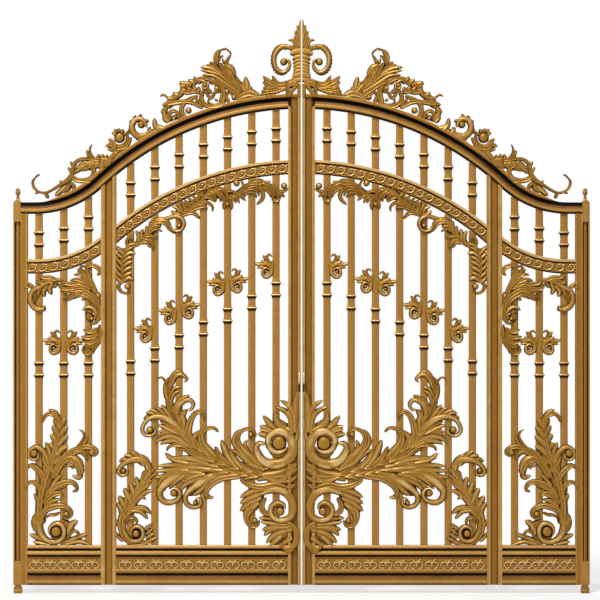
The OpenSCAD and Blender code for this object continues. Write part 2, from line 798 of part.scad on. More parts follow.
// One flower: a ring scroll beside a bar, a leaf across and a hook on top
module flower() {
    scroll([26, 24], 24, 200, -1, 0.34);
    leaf([[30, 44], [60, 60], [88, 62]], 40, 3);
    leaf([[50, 50], [66, 90], [60, 116]], 30, 2);
    hook([[40, 60], [30, 96], [44, 108]], 22, 7);
    leaf([[40, 40], [70, 30], [84, 14]], 30, 2);
}

// Flowers on the long bars: [bar, side of the bar, height above its upper collar]
wide_flowers = [[0, 1, 25], [2, 1, 70], [2, -1, 85], [4, 1, 55], [4, -1, 85], [5, 1, 30]];
side_flowers = [[1, 1, 45], [1, -1, 45]];

module flower_at(u, z, side) {
    translate([u, z]) mirror([side < 0 ? 1 : 0, 0]) translate([bar_w / 2 - 4, 0]) flower();
}

module flower_castings() {
    color(gold) difference() {
        cast_plate(collar_d + 4) {
            for (f = wide_flowers) flower_at(wide_u[f[0]], wide_collar_z(f[0]) + f[2], f[1]);
            for (f = side_flowers) flower_at(side_u[f[0]], side_collar_z + f[2], f[1]);
        }
        bars_room();
    }
}

// Half of the fixed pull in the middle of the gate
module pull_handle() {
    face = -frame_d / 2;
    color(dark_gold) translate([meet_in + pull_gap, 0, pull_z]) rotate([90, 0, 90])
        linear_extrude(height = pull_w) polygon([[face, 14], [face - 24, 0], [face - 36, 0],
            [face - 42, 20], [face - 36, 52], [face - 20, 58], [face, 54]]);
}

// ---- Hinge posts, drawn on their own axis ----

module post() {
    color(dark_gold) {
        translate([0, 0, foot_h]) cylinder(d = thrust_d, h = ground_gap - running_gap - foot_h);
        translate([0, 0, foot_h]) cylinder(d = post_d, h = block_top + running_gap - foot_h);
    }
}

module post_foot() {
    color(dark_gold) translate([-foot_w / 2, -foot_w / 2, 0]) cube([foot_w, foot_w, foot_h]);
}

module post_finial() {
    s = finial_h / drawn_finial_h;
    color(dark_gold) translate([0, 0, block_top + running_gap]) rotate_extrude()
        polygon([for (p = [[0, 0], [19, 0], [19, 3], [7, 18], [6, 21], [10, 24], [10, 26],
            [5, 29], [9, 34], [13, 44], [13, 56], [10, 61], [12, 65], [7, 69], [0, 72]])
            [p[0], p[1] * s]]);
}

module right_post() {
    translate([axis_span, 0, 0]) children();
}

post();  // left_post
post_foot();  // left_post_foot
post_finial();  // left_post_finial
right_post() post();
right_post() post_foot();  // right_post_foot
right_post() post_finial();  // right_post_finial
left_leaf() heel_stile();  // left_heel_stile
left_leaf() meeting_stile();  // left_meeting_stile
left_leaf() mullion();  // left_mullion
left_leaf() head_arch();  // left_head_arch
left_leaf() head_sweep();  // left_head_sweep
left_leaf() kick_rail();  // left_kick_rail
left_leaf() kick_panels();  // left_kick_panels
left_leaf() bands();  // left_bands
left_leaf() short_bars();  // left_short_bars
left_leaf() long_bars();  // left_long_bars
left_leaf() crown_finial();  // left_crown_finial
left_leaf() crest_spray();  // left_crest_spray
left_leaf() crest_scrolls();  // left_crest_scrolls
left_leaf() garland();  // left_garland
left_leaf() wide_acanthus();  // left_wide_acanthus
left_leaf() side_acanthus();  // left_side_acanthus
left_leaf() side_spray();  // left_side_spray
left_leaf() flower_castings();  // left_flower_castings
left_leaf() pull_handle();  // left_pull_handle
right_leaf() heel_stile();  // right_heel_stile
right_leaf() meeting_stile();  // right_meeting_stile
right_leaf() mullion();  // right_mullion
right_leaf() head_arch();  // right_head_arch
right_leaf() head_sweep();  // right_head_sweep
right_leaf() kick_rail();  // right_kick_rail
right_leaf() kick_panels();  // right_kick_panels
right_leaf() bands();  // right_bands
right_leaf() short_bars();  // right_short_bars
right_leaf() long_bars();  // right_long_bars
right_leaf() crown_finial();  // right_crown_finial
right_leaf() crest_spray();  // right_crest_spray
right_leaf() crest_scrolls();  // right_crest_scrolls
right_leaf() garland();  // right_garland
right_leaf() wide_acanthus();  // right_wide_acanthus
right_leaf() side_acanthus();  // right_side_acanthus
right_leaf() side_spray();  // right_side_spray
right_leaf() flower_castings();  // right_flower_castings
right_leaf() pull_handle();  // right_pull_handle
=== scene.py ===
"""Double-leaf cast aluminium gate: the looks of every part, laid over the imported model.

A leaf is drawn once, in millimetres, as (u, y, z): u is the distance from the line where
the two leaves meet, y is the depth behind the leaf's middle plane, z is the height.
"""
import logging
import math
from dataclasses import dataclass
from enum import Enum
from typing import Callable, Sequence

import bpy
import numpy as np
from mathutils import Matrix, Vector


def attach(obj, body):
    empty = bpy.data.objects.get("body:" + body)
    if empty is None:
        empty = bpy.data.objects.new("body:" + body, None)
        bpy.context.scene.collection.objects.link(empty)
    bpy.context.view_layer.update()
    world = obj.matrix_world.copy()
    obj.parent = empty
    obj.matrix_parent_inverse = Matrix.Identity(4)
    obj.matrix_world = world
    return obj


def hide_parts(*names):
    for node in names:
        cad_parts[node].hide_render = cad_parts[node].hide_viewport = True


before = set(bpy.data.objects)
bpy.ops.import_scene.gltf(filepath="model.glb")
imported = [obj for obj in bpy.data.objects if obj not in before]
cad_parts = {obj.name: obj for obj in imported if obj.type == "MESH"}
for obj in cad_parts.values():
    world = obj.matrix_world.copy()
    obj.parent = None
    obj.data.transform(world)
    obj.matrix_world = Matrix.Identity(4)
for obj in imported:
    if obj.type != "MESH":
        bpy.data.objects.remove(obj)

log = logging.getLogger("gate")

MM = 0.001
LEAST_U = 3.0  # nothing on a leaf comes nearer to the meeting line
PAINTED_TOP_LIGHT = 0.24  # painted light from above: how much paler an upward face is, and darker a downward one, than an upright one
WALL = 0.65  # relief half-way through a casting's side walls

Point = tuple[float, float]
Triple = tuple[float, float, float]
Colour = Triple
Placed = tuple[Point, float]  # (u, z) of a copy and its slope in degrees
Array = np.ndarray


# Places and sizes shared by the sub-assemblies


class Side(Enum):
    """Which leaf a piece belongs to."""

    LEFT = "left"
    RIGHT = "right"

    @property
    def body(self) -> str:
        """Name of the CAD body that the leaf's pieces ride on."""
        return f"{self.value}_leaf"

    @property
    def way(self) -> int:
        """Direction of growing u along X."""
        return -1 if self is Side.LEFT else 1


def ring(u: object, y: object, z: object) -> Array:
    """Points from three coordinates, any of which may be one number for them all."""
    return np.column_stack(np.broadcast_arrays(u, y, z))


@dataclass(frozen=True)
class Arc:
    """A circle in the gate's plane, given by its centre and radius in millimetres."""

    u: float
    z: float
    r: float

    def at(self, angle: float, grow: float) -> Point:
        """Point at an angle in degrees, grown outwards by a distance."""
        a = math.radians(angle)
        return (self.u + (self.r + grow) * math.cos(a), self.z + (self.r + grow) * math.sin(a))

    def set_out(self, section: Array, angle: object, way: int = 1) -> Array:
        """Ring of a section at angles in radians, laid outwards or, with way -1, inwards."""
        r = self.r + way * section[:, 0]
        return ring(self.u + r * np.cos(angle), section[:, 1], self.z + r * np.sin(angle))

    def top(self, u: float, grow: float = 0.0) -> float:
        """Height of the upper half at a distance u."""
        r = self.r + grow
        return self.z + math.sqrt(max(0.0, r * r - (u - self.u) ** 2))

    def bottom(self, u: float, grow: float = 0.0) -> float:
        """Height of the lower half at a distance u, level past the centre."""
        r, du = self.r + grow, min(0.0, u - self.u)
        return self.z - math.sqrt(max(0.0, r * r - du * du))


@dataclass(frozen=True)
class Plan:
    """Main places of the gate, in millimetres."""

    axis: float = 1480.0
    meet_in: float = 4.0
    meet_out: float = 70.0
    mull_in: float = 967.0
    mull_out: float = 1046.0
    heel_in: float = 1429.0
    channel_in: float = 1465.0
    channel_out: float = 1495.0
    under: float = 44.0
    kick_top: float = 250.0
    shoulder: float = 1979.0
    crown: float = 2528.0
    head_w: float = 60.0
    strip: float = 18.0
    band_w: float = 75.0
    sweep_u: float = 1394.0
    sweep_r: float = 522.0
    band_drop: float = 341.0
    band_tighter: float = 54.0
    side_band_z: float = 1667.0
    side_band_r: float = 600.0
    block_top: float = 2041.0
    collar_pitch: float = 63.0
    short_collar_drop: float = 99.0

    @property
    def arch(self) -> Arc:
        """Underside of the arched head rail.

        Returns:
            The circle that meets the sweep's without a corner.
        """
        rise = self.crown - self.shoulder
        r = (self.sweep_u**2 - 2 * self.sweep_r * rise + rise**2) / (2 * rise)
        return Arc(0.0, self.crown - r, r)

    @property
    def sweep(self) -> Arc:
        """Underside of the hollow sweep down to the posts."""
        return Arc(self.sweep_u, self.shoulder + self.sweep_r, self.sweep_r)

    @property
    def turn(self) -> float:
        """Angle at which the arch turns into the sweep, in degrees."""
        return math.degrees(math.atan2(self.sweep.z - self.arch.z, self.sweep_u))

    @property
    def wide_band(self) -> Arc:
        """Lower edge of the wide bay's band."""
        r = self.arch.r - self.band_tighter
        return Arc(0.0, self.crown - self.band_drop - r, r)

    @property
    def side_band(self) -> Arc:
        """Lower edge of the narrow bay's band."""
        return Arc(self.sweep_u - 15, self.side_band_z + self.side_band_r, self.side_band_r)

    @property
    def bays(self) -> tuple[Point, Point]:
        """The wide and the narrow bay, each as where it starts and ends."""
        return (self.meet_out, self.mull_in), (self.mull_out, self.heel_in)

    def head(self, u: float, grow: float = 0.0) -> float:
        """Height of the head rail's underside at u, or of a line grown above it."""
        turn_u = (self.arch.r + grow) * math.cos(math.radians(self.turn))
        return self.arch.top(u, grow) if u < turn_u else self.sweep.bottom(u, -grow)

    @property
    def wide_bars(self) -> list[float]:
        """Places of the wide bay's bars, outwards from the meeting stile."""
        first, last = self.meet_out + 63.0, self.mull_in - 75.0
        return [first + (last - first) * i / 6 for i in range(7)]

    @property
    def side_bars(self) -> list[float]:
        """Places of the narrow bay's bars."""
        first, last = self.mull_out + 66.0, self.heel_in - 59.0
        return [first + (last - first) * i / 2 for i in range(3)]

    def wide_collar(self, i: int) -> float:
        """Height of a long bar's upper collar in the wide bay."""
        return self.crown - self.band_drop - 569.0 - 68.0 * i

    @property
    def side_collar(self) -> float:
        """Height of a long bar's upper collar in the narrow bay."""
        return self.side_band_z - 467.0


PLAN = Plan()


# Node trees and finishes


@dataclass(frozen=True)
class Wire:
    """A node socket that takes part in Python arithmetic."""

    sheet: "Sheet"
    socket: bpy.types.NodeSocket

    def _math(self, operation: str, a: "Wire | float", b: "Wire | float") -> "Wire":
        """Add a Math node and return its output."""
        return self.sheet.add("ShaderNodeMath", {"operation": operation}, {0: a, 1: b})

    def __add__(self, other: "Wire | float") -> "Wire":
        """Sum."""
        return self._math("ADD", self, other)

    def __radd__(self, other: float) -> "Wire":
        """Sum, number first."""
        return self._math("ADD", other, self)

    def __sub__(self, other: "Wire | float") -> "Wire":
        """Difference."""
        return self._math("SUBTRACT", self, other)

    def __rsub__(self, other: float) -> "Wire":
        """Difference, number first."""
        return self._math("SUBTRACT", other, self)

    def __mul__(self, other: "Wire | float") -> "Wire":
        """Product."""
        return self._math("MULTIPLY", self, other)

    def __rmul__(self, other: float) -> "Wire":
        """Product, number first."""
        return self._math("MULTIPLY", other, self)

    def __pow__(self, exponent: float) -> "Wire":
        """Power."""
        return self._math("POWER", self, exponent)

    def between(self, low: float, high: float) -> "Wire":
        """Smooth step from 0 at low to 1 at high."""
        return self.sheet.add("ShaderNodeMapRange", {"interpolation_type": "SMOOTHSTEP"},
            {"Value": self, "From Min": low, "From Max": high})


class Sheet:
    """A node tree with one way to add to it."""

    def __init__(self, tree: bpy.types.NodeTree) -> None:
        """Keep the tree."""
        self.tree = tree

    def plug(self, node: bpy.types.Node, values: dict[object, object]) -> None:
        """Link or set a node's sockets.

        Args:
            node: the node.
            values: numbers, colours or wires by socket name or index.
        """
        for name, value in values.items():
            if isinstance(value, Wire):
                self.tree.links.new(value.socket, node.inputs[name])
            else:
                node.inputs[name].default_value = value

    def add(self, kind: str, settings: dict[str, object] | None = None,
            values: dict[object, object] | None = None, output: object = 0) -> Wire:
        """Add a node.

        Args:
            kind: Blender's type name of the node.
            settings: attributes to set before its sockets are used.
            values: numbers, colours or wires by socket name or index.
            output: which output to return.

        Returns:
            The chosen output.
        """
        node = self.tree.nodes.new(kind)
        for name, value in (settings or {}).items():
            setattr(node, name, value)
        self.plug(node, values or {})
        return Wire(self, node.outputs[output])


class ShaderSheet(Sheet):
    """The node tree of a material or a world, with its shader."""

    def __init__(self, holder: bpy.types.ID, output: str = "ShaderNodeOutputMaterial",
                 shader: str = "ShaderNodeBsdfPrincipled") -> None:
        """Start with an empty tree that holds one shader and the output.

        Args:
            holder: the material or world.
            output: type name of its output node.
            shader: type name of its shader node.
        """
        holder.use_nodes = True
        super().__init__(holder.node_tree)
        self.holder = holder
        self.tree.nodes.clear()
        self.out, self.shader = self.tree.nodes.new(output), self.tree.nodes.new(shader)
        self.surface = Wire(self, self.shader.outputs[0])
        self.show(self.surface)

    def show(self, surface: Wire) -> None:
        """Make a shader the surface."""
        self.plug(self.out, {"Surface": surface})

    def feed(self, values: dict[object, object]) -> None:
        """Set or link the shader's sockets."""
        self.plug(self.shader, values)

    def noise(self, scale: float, detail: float, stretch: Colour = (1, 1, 1)) -> Wire:
        """Noise on Object coordinates.

        Args:
            scale: size of the noise, per metre.
            detail: how many finer layers it has.
            stretch: scale of each axis.

        Returns:
            The noise's value.
        """
        place = self.add("ShaderNodeTexCoord", output="Object")
        place = self.add("ShaderNodeMapping", values={"Vector": place, "Scale": stretch})
        return self.add("ShaderNodeTexNoise", values={"Vector": place, "Scale": scale,
            "Detail": detail, "Roughness": 0.6})

    def blend(self, low: object, high: object, factor: Wire) -> Wire:
        """Mix two colours."""
        return self.add("ShaderNodeMix", {"data_type": "RGBA"},
            {"Factor": factor, 6: low, 7: high}, output=2)

    def bump(self, height: Wire, distance: float, strength: float) -> None:
        """Feed a Bump node from a height."""
        self.feed({"Normal": self.add("ShaderNodeBump", values={"Height": height,
            "Distance": distance, "Strength": strength})})


def rgba(colour: Colour) -> tuple[float, float, float, float]:
    """Linear colour of an sRGB one, with full alpha."""
    lin = [c / 12.92 if c <= 0.04045 else ((c + 0.055) / 1.055) ** 2.4 for c in colour]
    return (lin[0], lin[1], lin[2], 1.0)


@dataclass(frozen=True)
class AntiqueGold:
    """Satin antique-gold paint on cast metal: brown patina in each fold, deepened with painted shade, and
    a paler ridge colour that is part worn edge, part painted highlight.

    The mesh's own relief attribute says how high a place stands in its carving, from 0 in a fold to 1 on a
    ridge. It also carries painted light and shade: upward faces paler and downward ones darker, sunken
    places darker and proud ones paler, and near 0 a near-black painted shadow.
    """

    name: str
    # painted shadow: the near-black colour where relief is near 0
    hollow_shadow: Colour = (0.05, 0.022, 0.006)
    # brown patina of each fold, darkened further as painted shade
    fold_patina_and_shade: Colour = (0.26, 0.125, 0.0)
    body: Colour = (0.65, 0.475, 0.22)
    # ridge colour: part worn edge, part painted highlight
    rubbed_and_highlight: Colour = (0.86, 0.735, 0.52)
    roughness: float = 0.42
    metallic: float = 0.35
    grain: float = 420.0
    grain_depth: float = 0.00035
    stretch: Colour = (1, 1, 1)
    # how soon the fold colour, patina and painted shade, gives way to the body colour
    fold_shade_curve: float = 0.55

    def make(self) -> bpy.types.Material:
        """Build the material.

        Returns:
            The material.
        """
        sheet = ShaderSheet(bpy.data.materials.new(self.name))
        relief = sheet.add("ShaderNodeAttribute", {"attribute_name": "relief"}, output="Fac")
        cloud, patch = sheet.noise(3.2, 4.0), sheet.noise(26.0, 4.0)
        grain = sheet.noise(self.grain, 2.0, self.stretch)
        noisy_relief = relief + (patch - 0.5) * 0.35 + (cloud - 0.5) * 0.25
        # painted shade towards the fold colour where relief is low; painted highlight, with worn edges,
        # where it is high
        depth, highlight_and_wear = noisy_relief.between(0.0, 0.66), noisy_relief.between(0.72, 1.12)
        tone = sheet.blend(rgba(self.fold_patina_and_shade), rgba(self.body), depth ** (1 - self.fold_shade_curve * 0.5))
        duller = sheet.add("ShaderNodeHueSaturation",
            values={"Color": tone, "Value": 0.86, "Saturation": 1.06})
        mottled = sheet.blend(tone, duller, patch.between(0.42, 0.66) * 0.55)
        raised = sheet.blend(mottled, rgba(self.rubbed_and_highlight), highlight_and_wear * 0.8)
        # painted shadow: the colour goes near-black where relief is near 0
        clear = relief.between(0.0, 0.13)
        sheet.feed({"Base Color": sheet.blend(rgba(self.hollow_shadow), raised, clear),
            "Roughness": self.roughness + (1 - depth) * 0.2 + (1 - clear) * 0.3
                + (patch - 0.5) * 0.16,
            "Metallic": self.metallic * depth, "Specular IOR Level": 0.18})
        sheet.bump(grain + patch * 0.6, self.grain_depth, 0.5)
        return sheet.holder


FINISHES = (
    AntiqueGold("frame_gold", body=(0.625, 0.44, 0.175), rubbed_and_highlight=(0.79, 0.645, 0.40)),
    AntiqueGold("bar_gold", body=(0.66, 0.48, 0.225), stretch=(1, 1, 0.12), grain=300.0),
    AntiqueGold("panel_gold", body=(0.63, 0.455, 0.19), rubbed_and_highlight=(0.84, 0.70, 0.46)),
    AntiqueGold("casting_gold", body=(0.63, 0.46, 0.18), rubbed_and_highlight=(0.85, 0.73, 0.50)),
    AntiqueGold("post_bronze", body=(0.62, 0.43, 0.20), rubbed_and_highlight=(0.70, 0.51, 0.28),
        fold_patina_and_shade=(0.2, 0.11, 0.03)),
    AntiqueGold("handle_gold", body=(0.80, 0.66, 0.43), rubbed_and_highlight=(0.93, 0.84, 0.66),
        roughness=0.34),
)


# Mesh building


def curve_through(points: Sequence[Point], count: int) -> Array:
    """Smooth curve through points.

    Args:
        points: two or more places.
        count: how many points to return.

    Returns:
        Array of (count, 2), evenly spread over the curve's length.
    """
    p = np.array(points, float)
    p = np.vstack([2 * p[0] - p[1], p, 2 * p[-1] - p[-2]])
    fine = []
    for a, b, c, d in zip(p, p[1:], p[2:], p[3:]):
        for t in np.linspace(0, 1, 12, endpoint=False):
            fine.append(0.5 * (2 * b + (c - a) * t + (2 * a - 5 * b + 4 * c - d) * t**2
                + (3 * b - a - 3 * c + d) * t**3))
    fine = np.array([*fine, p[-2]])
    run = np.concatenate([[0], np.cumsum(np.linalg.norm(np.diff(fine, axis=0), axis=1))])
    even = np.linspace(0, run[-1], count)
    return np.column_stack([np.interp(even, run, fine[:, axis]) for axis in (0, 1)])


def across(line: Array, half: Array, t: Array) -> Array:
    """Points across a line, square to it.

    Args:
        line: points of the line, (n, 2).
        half: half-width at each point.
        t: places across, from -1 to 1.

    Returns:
        Array of (n, len(t), 2).
    """
    d = np.gradient(line, axis=0)
    d /= np.maximum(np.linalg.norm(d, axis=1), 1e-9)[:, None]
    side = np.column_stack([-d[:, 1], d[:, 0]])
    return line[:, None] + side[:, None] * (half[:, None] * t)[..., None]


def turned(v: Array, angle: float) -> Array:
    """A 2-D vector turned by an angle in degrees."""
    c, s = math.cos(math.radians(angle)), math.sin(math.radians(angle))
    return np.array([v[0] * c - v[1] * s, v[0] * s + v[1] * c])


def both_faces(profile: Sequence[Triple], soften: float = 1.6) -> Array:
    """Closed section from the profile of one face.

    Args:
        profile: (place across, depth from the middle plane, relief) along the face.
        soften: how far each corner is rounded, in millimetres.

    Returns:
        Array of (place, y, relief): the show face, then the rear one backwards.
    """
    p = np.array(profile, float)
    face = [p[0]]
    for a, b, c in zip(p, p[1:], p[2:]):
        la, lc = np.linalg.norm((a - b)[:2]), np.linalg.norm((c - b)[:2])
        k = min(soften, 0.45 * la, 0.45 * lc)
        start, end = b + (a - b) * k / la, b + (c - b) * k / lc
        for t in (0.0, 0.5, 1.0):
            face.append((1 - t) ** 2 * start + 2 * t * (1 - t) * b + t * t * end)
    face = np.array([*face, p[-1]])
    return np.vstack([face * [1, -1, 1], face[::-1]])


class Section(Enum):
    """How a stroke's surface rises from its edges to its middle."""

    ROUND = "round"
    VEINED = "veined"
    RIDGED = "ridged"

    def rise(self, t: Array) -> Array:
        """Height of the surface.

        Args:
            t: places across, from -1 to 1.

        Returns:
            Heights from 0 to 1.
        """
        dome = np.sqrt(np.maximum(0.0, 1 - t * t))
        if self is Section.ROUND:
            return dome
        if self is Section.VEINED:
            return dome * (1 - 0.42 * np.exp(-(t / 0.2) ** 2))
        return 0.4 * dome + 0.6 * (1 - np.abs(t) ** 1.3)


def in_scene(name: str, data: bpy.types.ID) -> bpy.types.Object:
    """Object of a mesh, lamp or camera, linked to the scene.

    Args:
        name: the object's name.
        data: what it shows.

    Returns:
        The object.
    """
    made = bpy.data.objects.new(name, data)
    bpy.context.scene.collection.objects.link(made)
    return made


def smooth(mesh: bpy.types.Mesh, sharp: float) -> None:
    """Shade a mesh smooth, but for edges sharper than an angle in degrees."""
    mesh.polygons.foreach_set("use_smooth", [True] * len(mesh.polygons))
    mesh.set_sharp_from_angle(angle=math.radians(sharp))


class Carving:
    """Closed shells gathered into one mesh, each vertex with its relief."""

    def __init__(self) -> None:
        """Start with nothing carved."""
        self.points: list[Array] = []
        self.reliefs: list[Array] = []
        self.quads: list[Array] = []
        self.caps: list[Array] = []
        self.count = 0

    def shell(self, rings: Sequence[Array], relief: object, loop: bool = False) -> None:
        """Add a closed shell from rings of points.

        Args:
            rings: (stations, points round, 3), in (u, y, z) millimetres.
            relief: (stations, points round), or what spreads to that.
            loop: whether the last ring joins the first, instead of two end caps.
        """
        rings = np.array(rings)
        n, k = rings.shape[:2]
        index = np.arange(n * k).reshape(n, k)
        lower = index if loop else index[:-1]
        upper = np.roll(index, -1, axis=0) if loop else index[1:]
        quads = np.stack([lower, np.roll(lower, -1, axis=1), np.roll(upper, -1, axis=1),
            upper], axis=-1).reshape(-1, 4)
        flat = rings.reshape(-1, 3)
        caps = np.empty((0, k), int) if loop else np.array([index[0][::-1], index[-1]])
        v = flat[quads] - flat.mean(axis=0)
        volume = np.einsum("ij,ij->i", v[:, 0], np.cross(v[:, 1], v[:, 2])).sum()
        volume += np.einsum("ij,ij->i", v[:, 0], np.cross(v[:, 2], v[:, 3])).sum()
        normal = np.cross(np.gradient(rings, axis=1), np.gradient(rings, axis=0))
        up = normal[..., 2] / np.maximum(np.linalg.norm(normal, axis=-1), 1e-6)
        if volume < 0:
            quads, caps, up = quads[:, ::-1], caps[:, ::-1], -up
        relief = np.broadcast_to(relief, (n, k))
        self.points.append(flat)
        # painted light from above: upward faces paler, downward ones darker
        self.reliefs.append(np.clip(relief + PAINTED_TOP_LIGHT * up, 0, 1.2).reshape(-1))
        self.quads.append(quads + self.count)
        self.caps.extend(c + self.count for c in caps)
        self.count += n * k

    def stack(self, layers: Sequence[tuple[Array, object]]) -> None:
        """Add a shell from pairs of a ring and its relief."""
        rings = [layer for layer, _ in layers]
        self.shell(rings, [np.broadcast_to(r, len(rings[0])) for _, r in layers])

    def stroke(self, line: Array, half: Array, height: Array, edge: Array,
               section: Section, tone: tuple[float, float]) -> None:
        """Add a carved stroke with the same relief on both faces.

        Args:
            line: points of its middle line, (n, 2) as (u, z).
            half: half-width at each point.
            height: depth of its crest from the middle plane at each point.
            edge: depth of its side walls at each point.
            section: how its surface rises.
            tone: relief at its edges and on its crest: painted shade at the edges, painted highlight on
                the crest.
        """
        t = np.sin(np.linspace(-math.pi / 2, math.pi / 2, 7))
        rise = section.rise(t)
        low = np.minimum(edge, height)[:, None]
        plane = across(line, half, t)
        deep = low + (height[:, None] - low) * rise
        front = np.dstack([plane[..., 0], -deep, plane[..., 1]])
        rear = np.dstack([plane[..., 0], deep, plane[..., 1]])[:, ::-1]
        far, near = (np.insert(plane[:, i], 1, 0.0, axis=1)[:, None] for i in (-1, 0))
        # painted shade at the edges, widened by the power, and painted highlight on the crest
        shade = tone[0] + (tone[1] - tone[0]) * rise**1.5
        self.shell(np.concatenate([front, far, rear, near], axis=1),
            [*shade, WALL, *shade[::-1], WALL])

    def button(self, centre: Point, r: float, edge: float, height: float) -> None:
        """Add a domed disc on both faces.

        Args:
            centre: its middle, as (u, z).
            r: its radius.
            edge: depth of its rim from the middle plane.
            height: depth of its crown.
        """
        a = np.linspace(0, 2 * math.pi, 20, endpoint=False)
        dome = [(s, math.sqrt(1 - s**2)) for s in (1.0, 0.97, 0.86, 0.68, 0.45, 0.2)]
        layers = []
        for sign, (s, rise) in [*((-1, step) for step in dome[::-1]), (0, dome[0]),
                                *((1, step) for step in dome)]:
            layer = ring(centre[0] + r * s * np.cos(a), sign * (edge + (height - edge) * rise),
                centre[1] + r * s * np.sin(a))
            # painted shade at the rim, painted highlight on the crown
            layers.append((layer, 0.05 + 0.72 * rise if sign else WALL))
        self.stack(layers)

    def lathe(self, profile: Sequence[Point]) -> None:
        """Add a turned piece on the post's axis.

        Args:
            profile: (radius, height) from foot to tip.
        """
        a = np.linspace(0, 2 * math.pi, 32, endpoint=False)
        widest = max(r for r, _ in profile)
        # painted shade: the narrower the piece at a height, the darker it is
        self.stack([(ring(PLAN.axis + r * np.cos(a), r * np.sin(a), z),
            0.25 + 0.75 * r / widest) for r, z in profile])

    def upright(self, section: Array, u0: float, low: float,
                *tops: Callable[[float], float]) -> None:
        """Add a straight upright.

        Args:
            section: its section, with places across measured from u0.
            u0: where it stands.
            low: height of its foot.
            tops: heights of the cuts above, each a function of u.
        """
        u = u0 + section[:, 0]
        cuts = [ring(u, section[:, 1], low), *(ring(u, section[:, 1], [top(v) for v in u])
            for top in tops)]
        self.shell(cuts, section[:, 2])

    def level(self, section: Array, z0: float, bay: Point, parts: int) -> None:
        """Add a level member whose section's places across are heights above z0."""
        self.shell([ring(u, section[:, 1], z0 + section[:, 0])
            for u in np.linspace(*bay, parts)], section[:, 2])

    def paint_depth_shade(self, cell: float = 3.0, reach: int = 4) -> None:
        """Darken every place that lies lower than the carving round it and lighten every place that stands
        higher: painted shade and light over the patina of the sunken places.

        Args:
            cell: spacing of the depth map that the carving is compared with.
            reach: how many cells the comparison takes in on each side.
        """
        points, relief = np.vstack(self.points), np.concatenate(self.reliefs)
        flat = points[:, [0, 2]]
        index = tuple((((flat - flat.min(axis=0)) / cell).astype(int) + 8).T)
        around = range(-reach, reach + 1)
        for face in (-1, 1):
            depth = np.zeros([i.max() + 9 for i in index])
            height = face * points[:, 1]
            np.maximum.at(depth, index, height)
            for axis in (0, 1):
                depth = np.max([np.roll(depth, k, axis) for k in (-1, 0, 1)], axis=0)
            total, filled = depth.copy(), (depth > 0).astype(float)
            for axis in (0, 1):
                total = sum(np.roll(total, k, axis) for k in around)
                filled = sum(np.roll(filled, k, axis) for k in around)
            mean = (total / np.maximum(filled, 1))[index]
            # painted shade in sunken places, painted light on proud ones
            cavity = 0.68 * relief + 0.13 + 0.11 * (height - mean)
            relief = np.where(height > 0, cavity, relief)
        self.reliefs = [np.clip(relief, 0, 1.15)]

    def make(self, name: str, side: Side | None = None) -> bpy.types.Object:
        """Turn the carving into an object.

        Args:
            name: the object's name.
            side: the leaf it is drawn for, or None where u is X already.

        Returns:
            The linked object, at the origin, with its place in its mesh.
        """
        points, relief = np.vstack(self.points), np.concatenate(self.reliefs)
        quads, caps = np.vstack(self.quads), self.caps
        if side:  # each shell stops at a depth of its own, so no two flat ends coincide
            least = np.concatenate([np.full(len(p), LEAST_U + 0.03 * (i % 37))
                for i, p in enumerate(self.points)])
            relief[points[:, 0] < least] = WALL
            points[:, 0] = PLAN.axis + side.way * np.maximum(points[:, 0], least)
        if side is Side.LEFT:
            quads, caps = quads[:, ::-1], [c[::-1] for c in caps]
        mesh = bpy.data.meshes.new(name)
        faces = quads.tolist() + [c.tolist() for c in caps]
        mesh.from_pydata((points * MM).tolist(), [], faces)
        tag = mesh.attributes.new("relief", "FLOAT", "POINT")
        tag.data.foreach_set("value", relief.astype(np.float32))
        smooth(mesh, 38)
        mesh.update()
        return in_scene(name, mesh)


class Dresser:
    """Gives a finished piece its material, body and the CAD nodes it stands for."""

    def __init__(self) -> None:
        """Build every finish, by the record's slot, and the tree that repeats motifs."""
        self.finishes = {finish.name: finish.make() for finish in FINISHES}
        self.tree = Repeat()

    def dress(self, piece: bpy.types.Object, slot: str, body: str, *nodes: str) -> None:
        """Finish a piece and hand it to its body.

        Args:
            piece: the object.
            slot: the record's material slot.
            body: the CAD body that it rides on.
            nodes: CAD nodes that it stands for.
        """
        piece.data.materials.clear()
        piece.data.materials.append(self.finishes[slot])
        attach(piece, body)
        if nodes:
            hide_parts(*nodes)
        faces = len(piece.data.polygons)
        log.info("%s: %d faces, %s, rides on %s", piece.name, faces, slot, body)


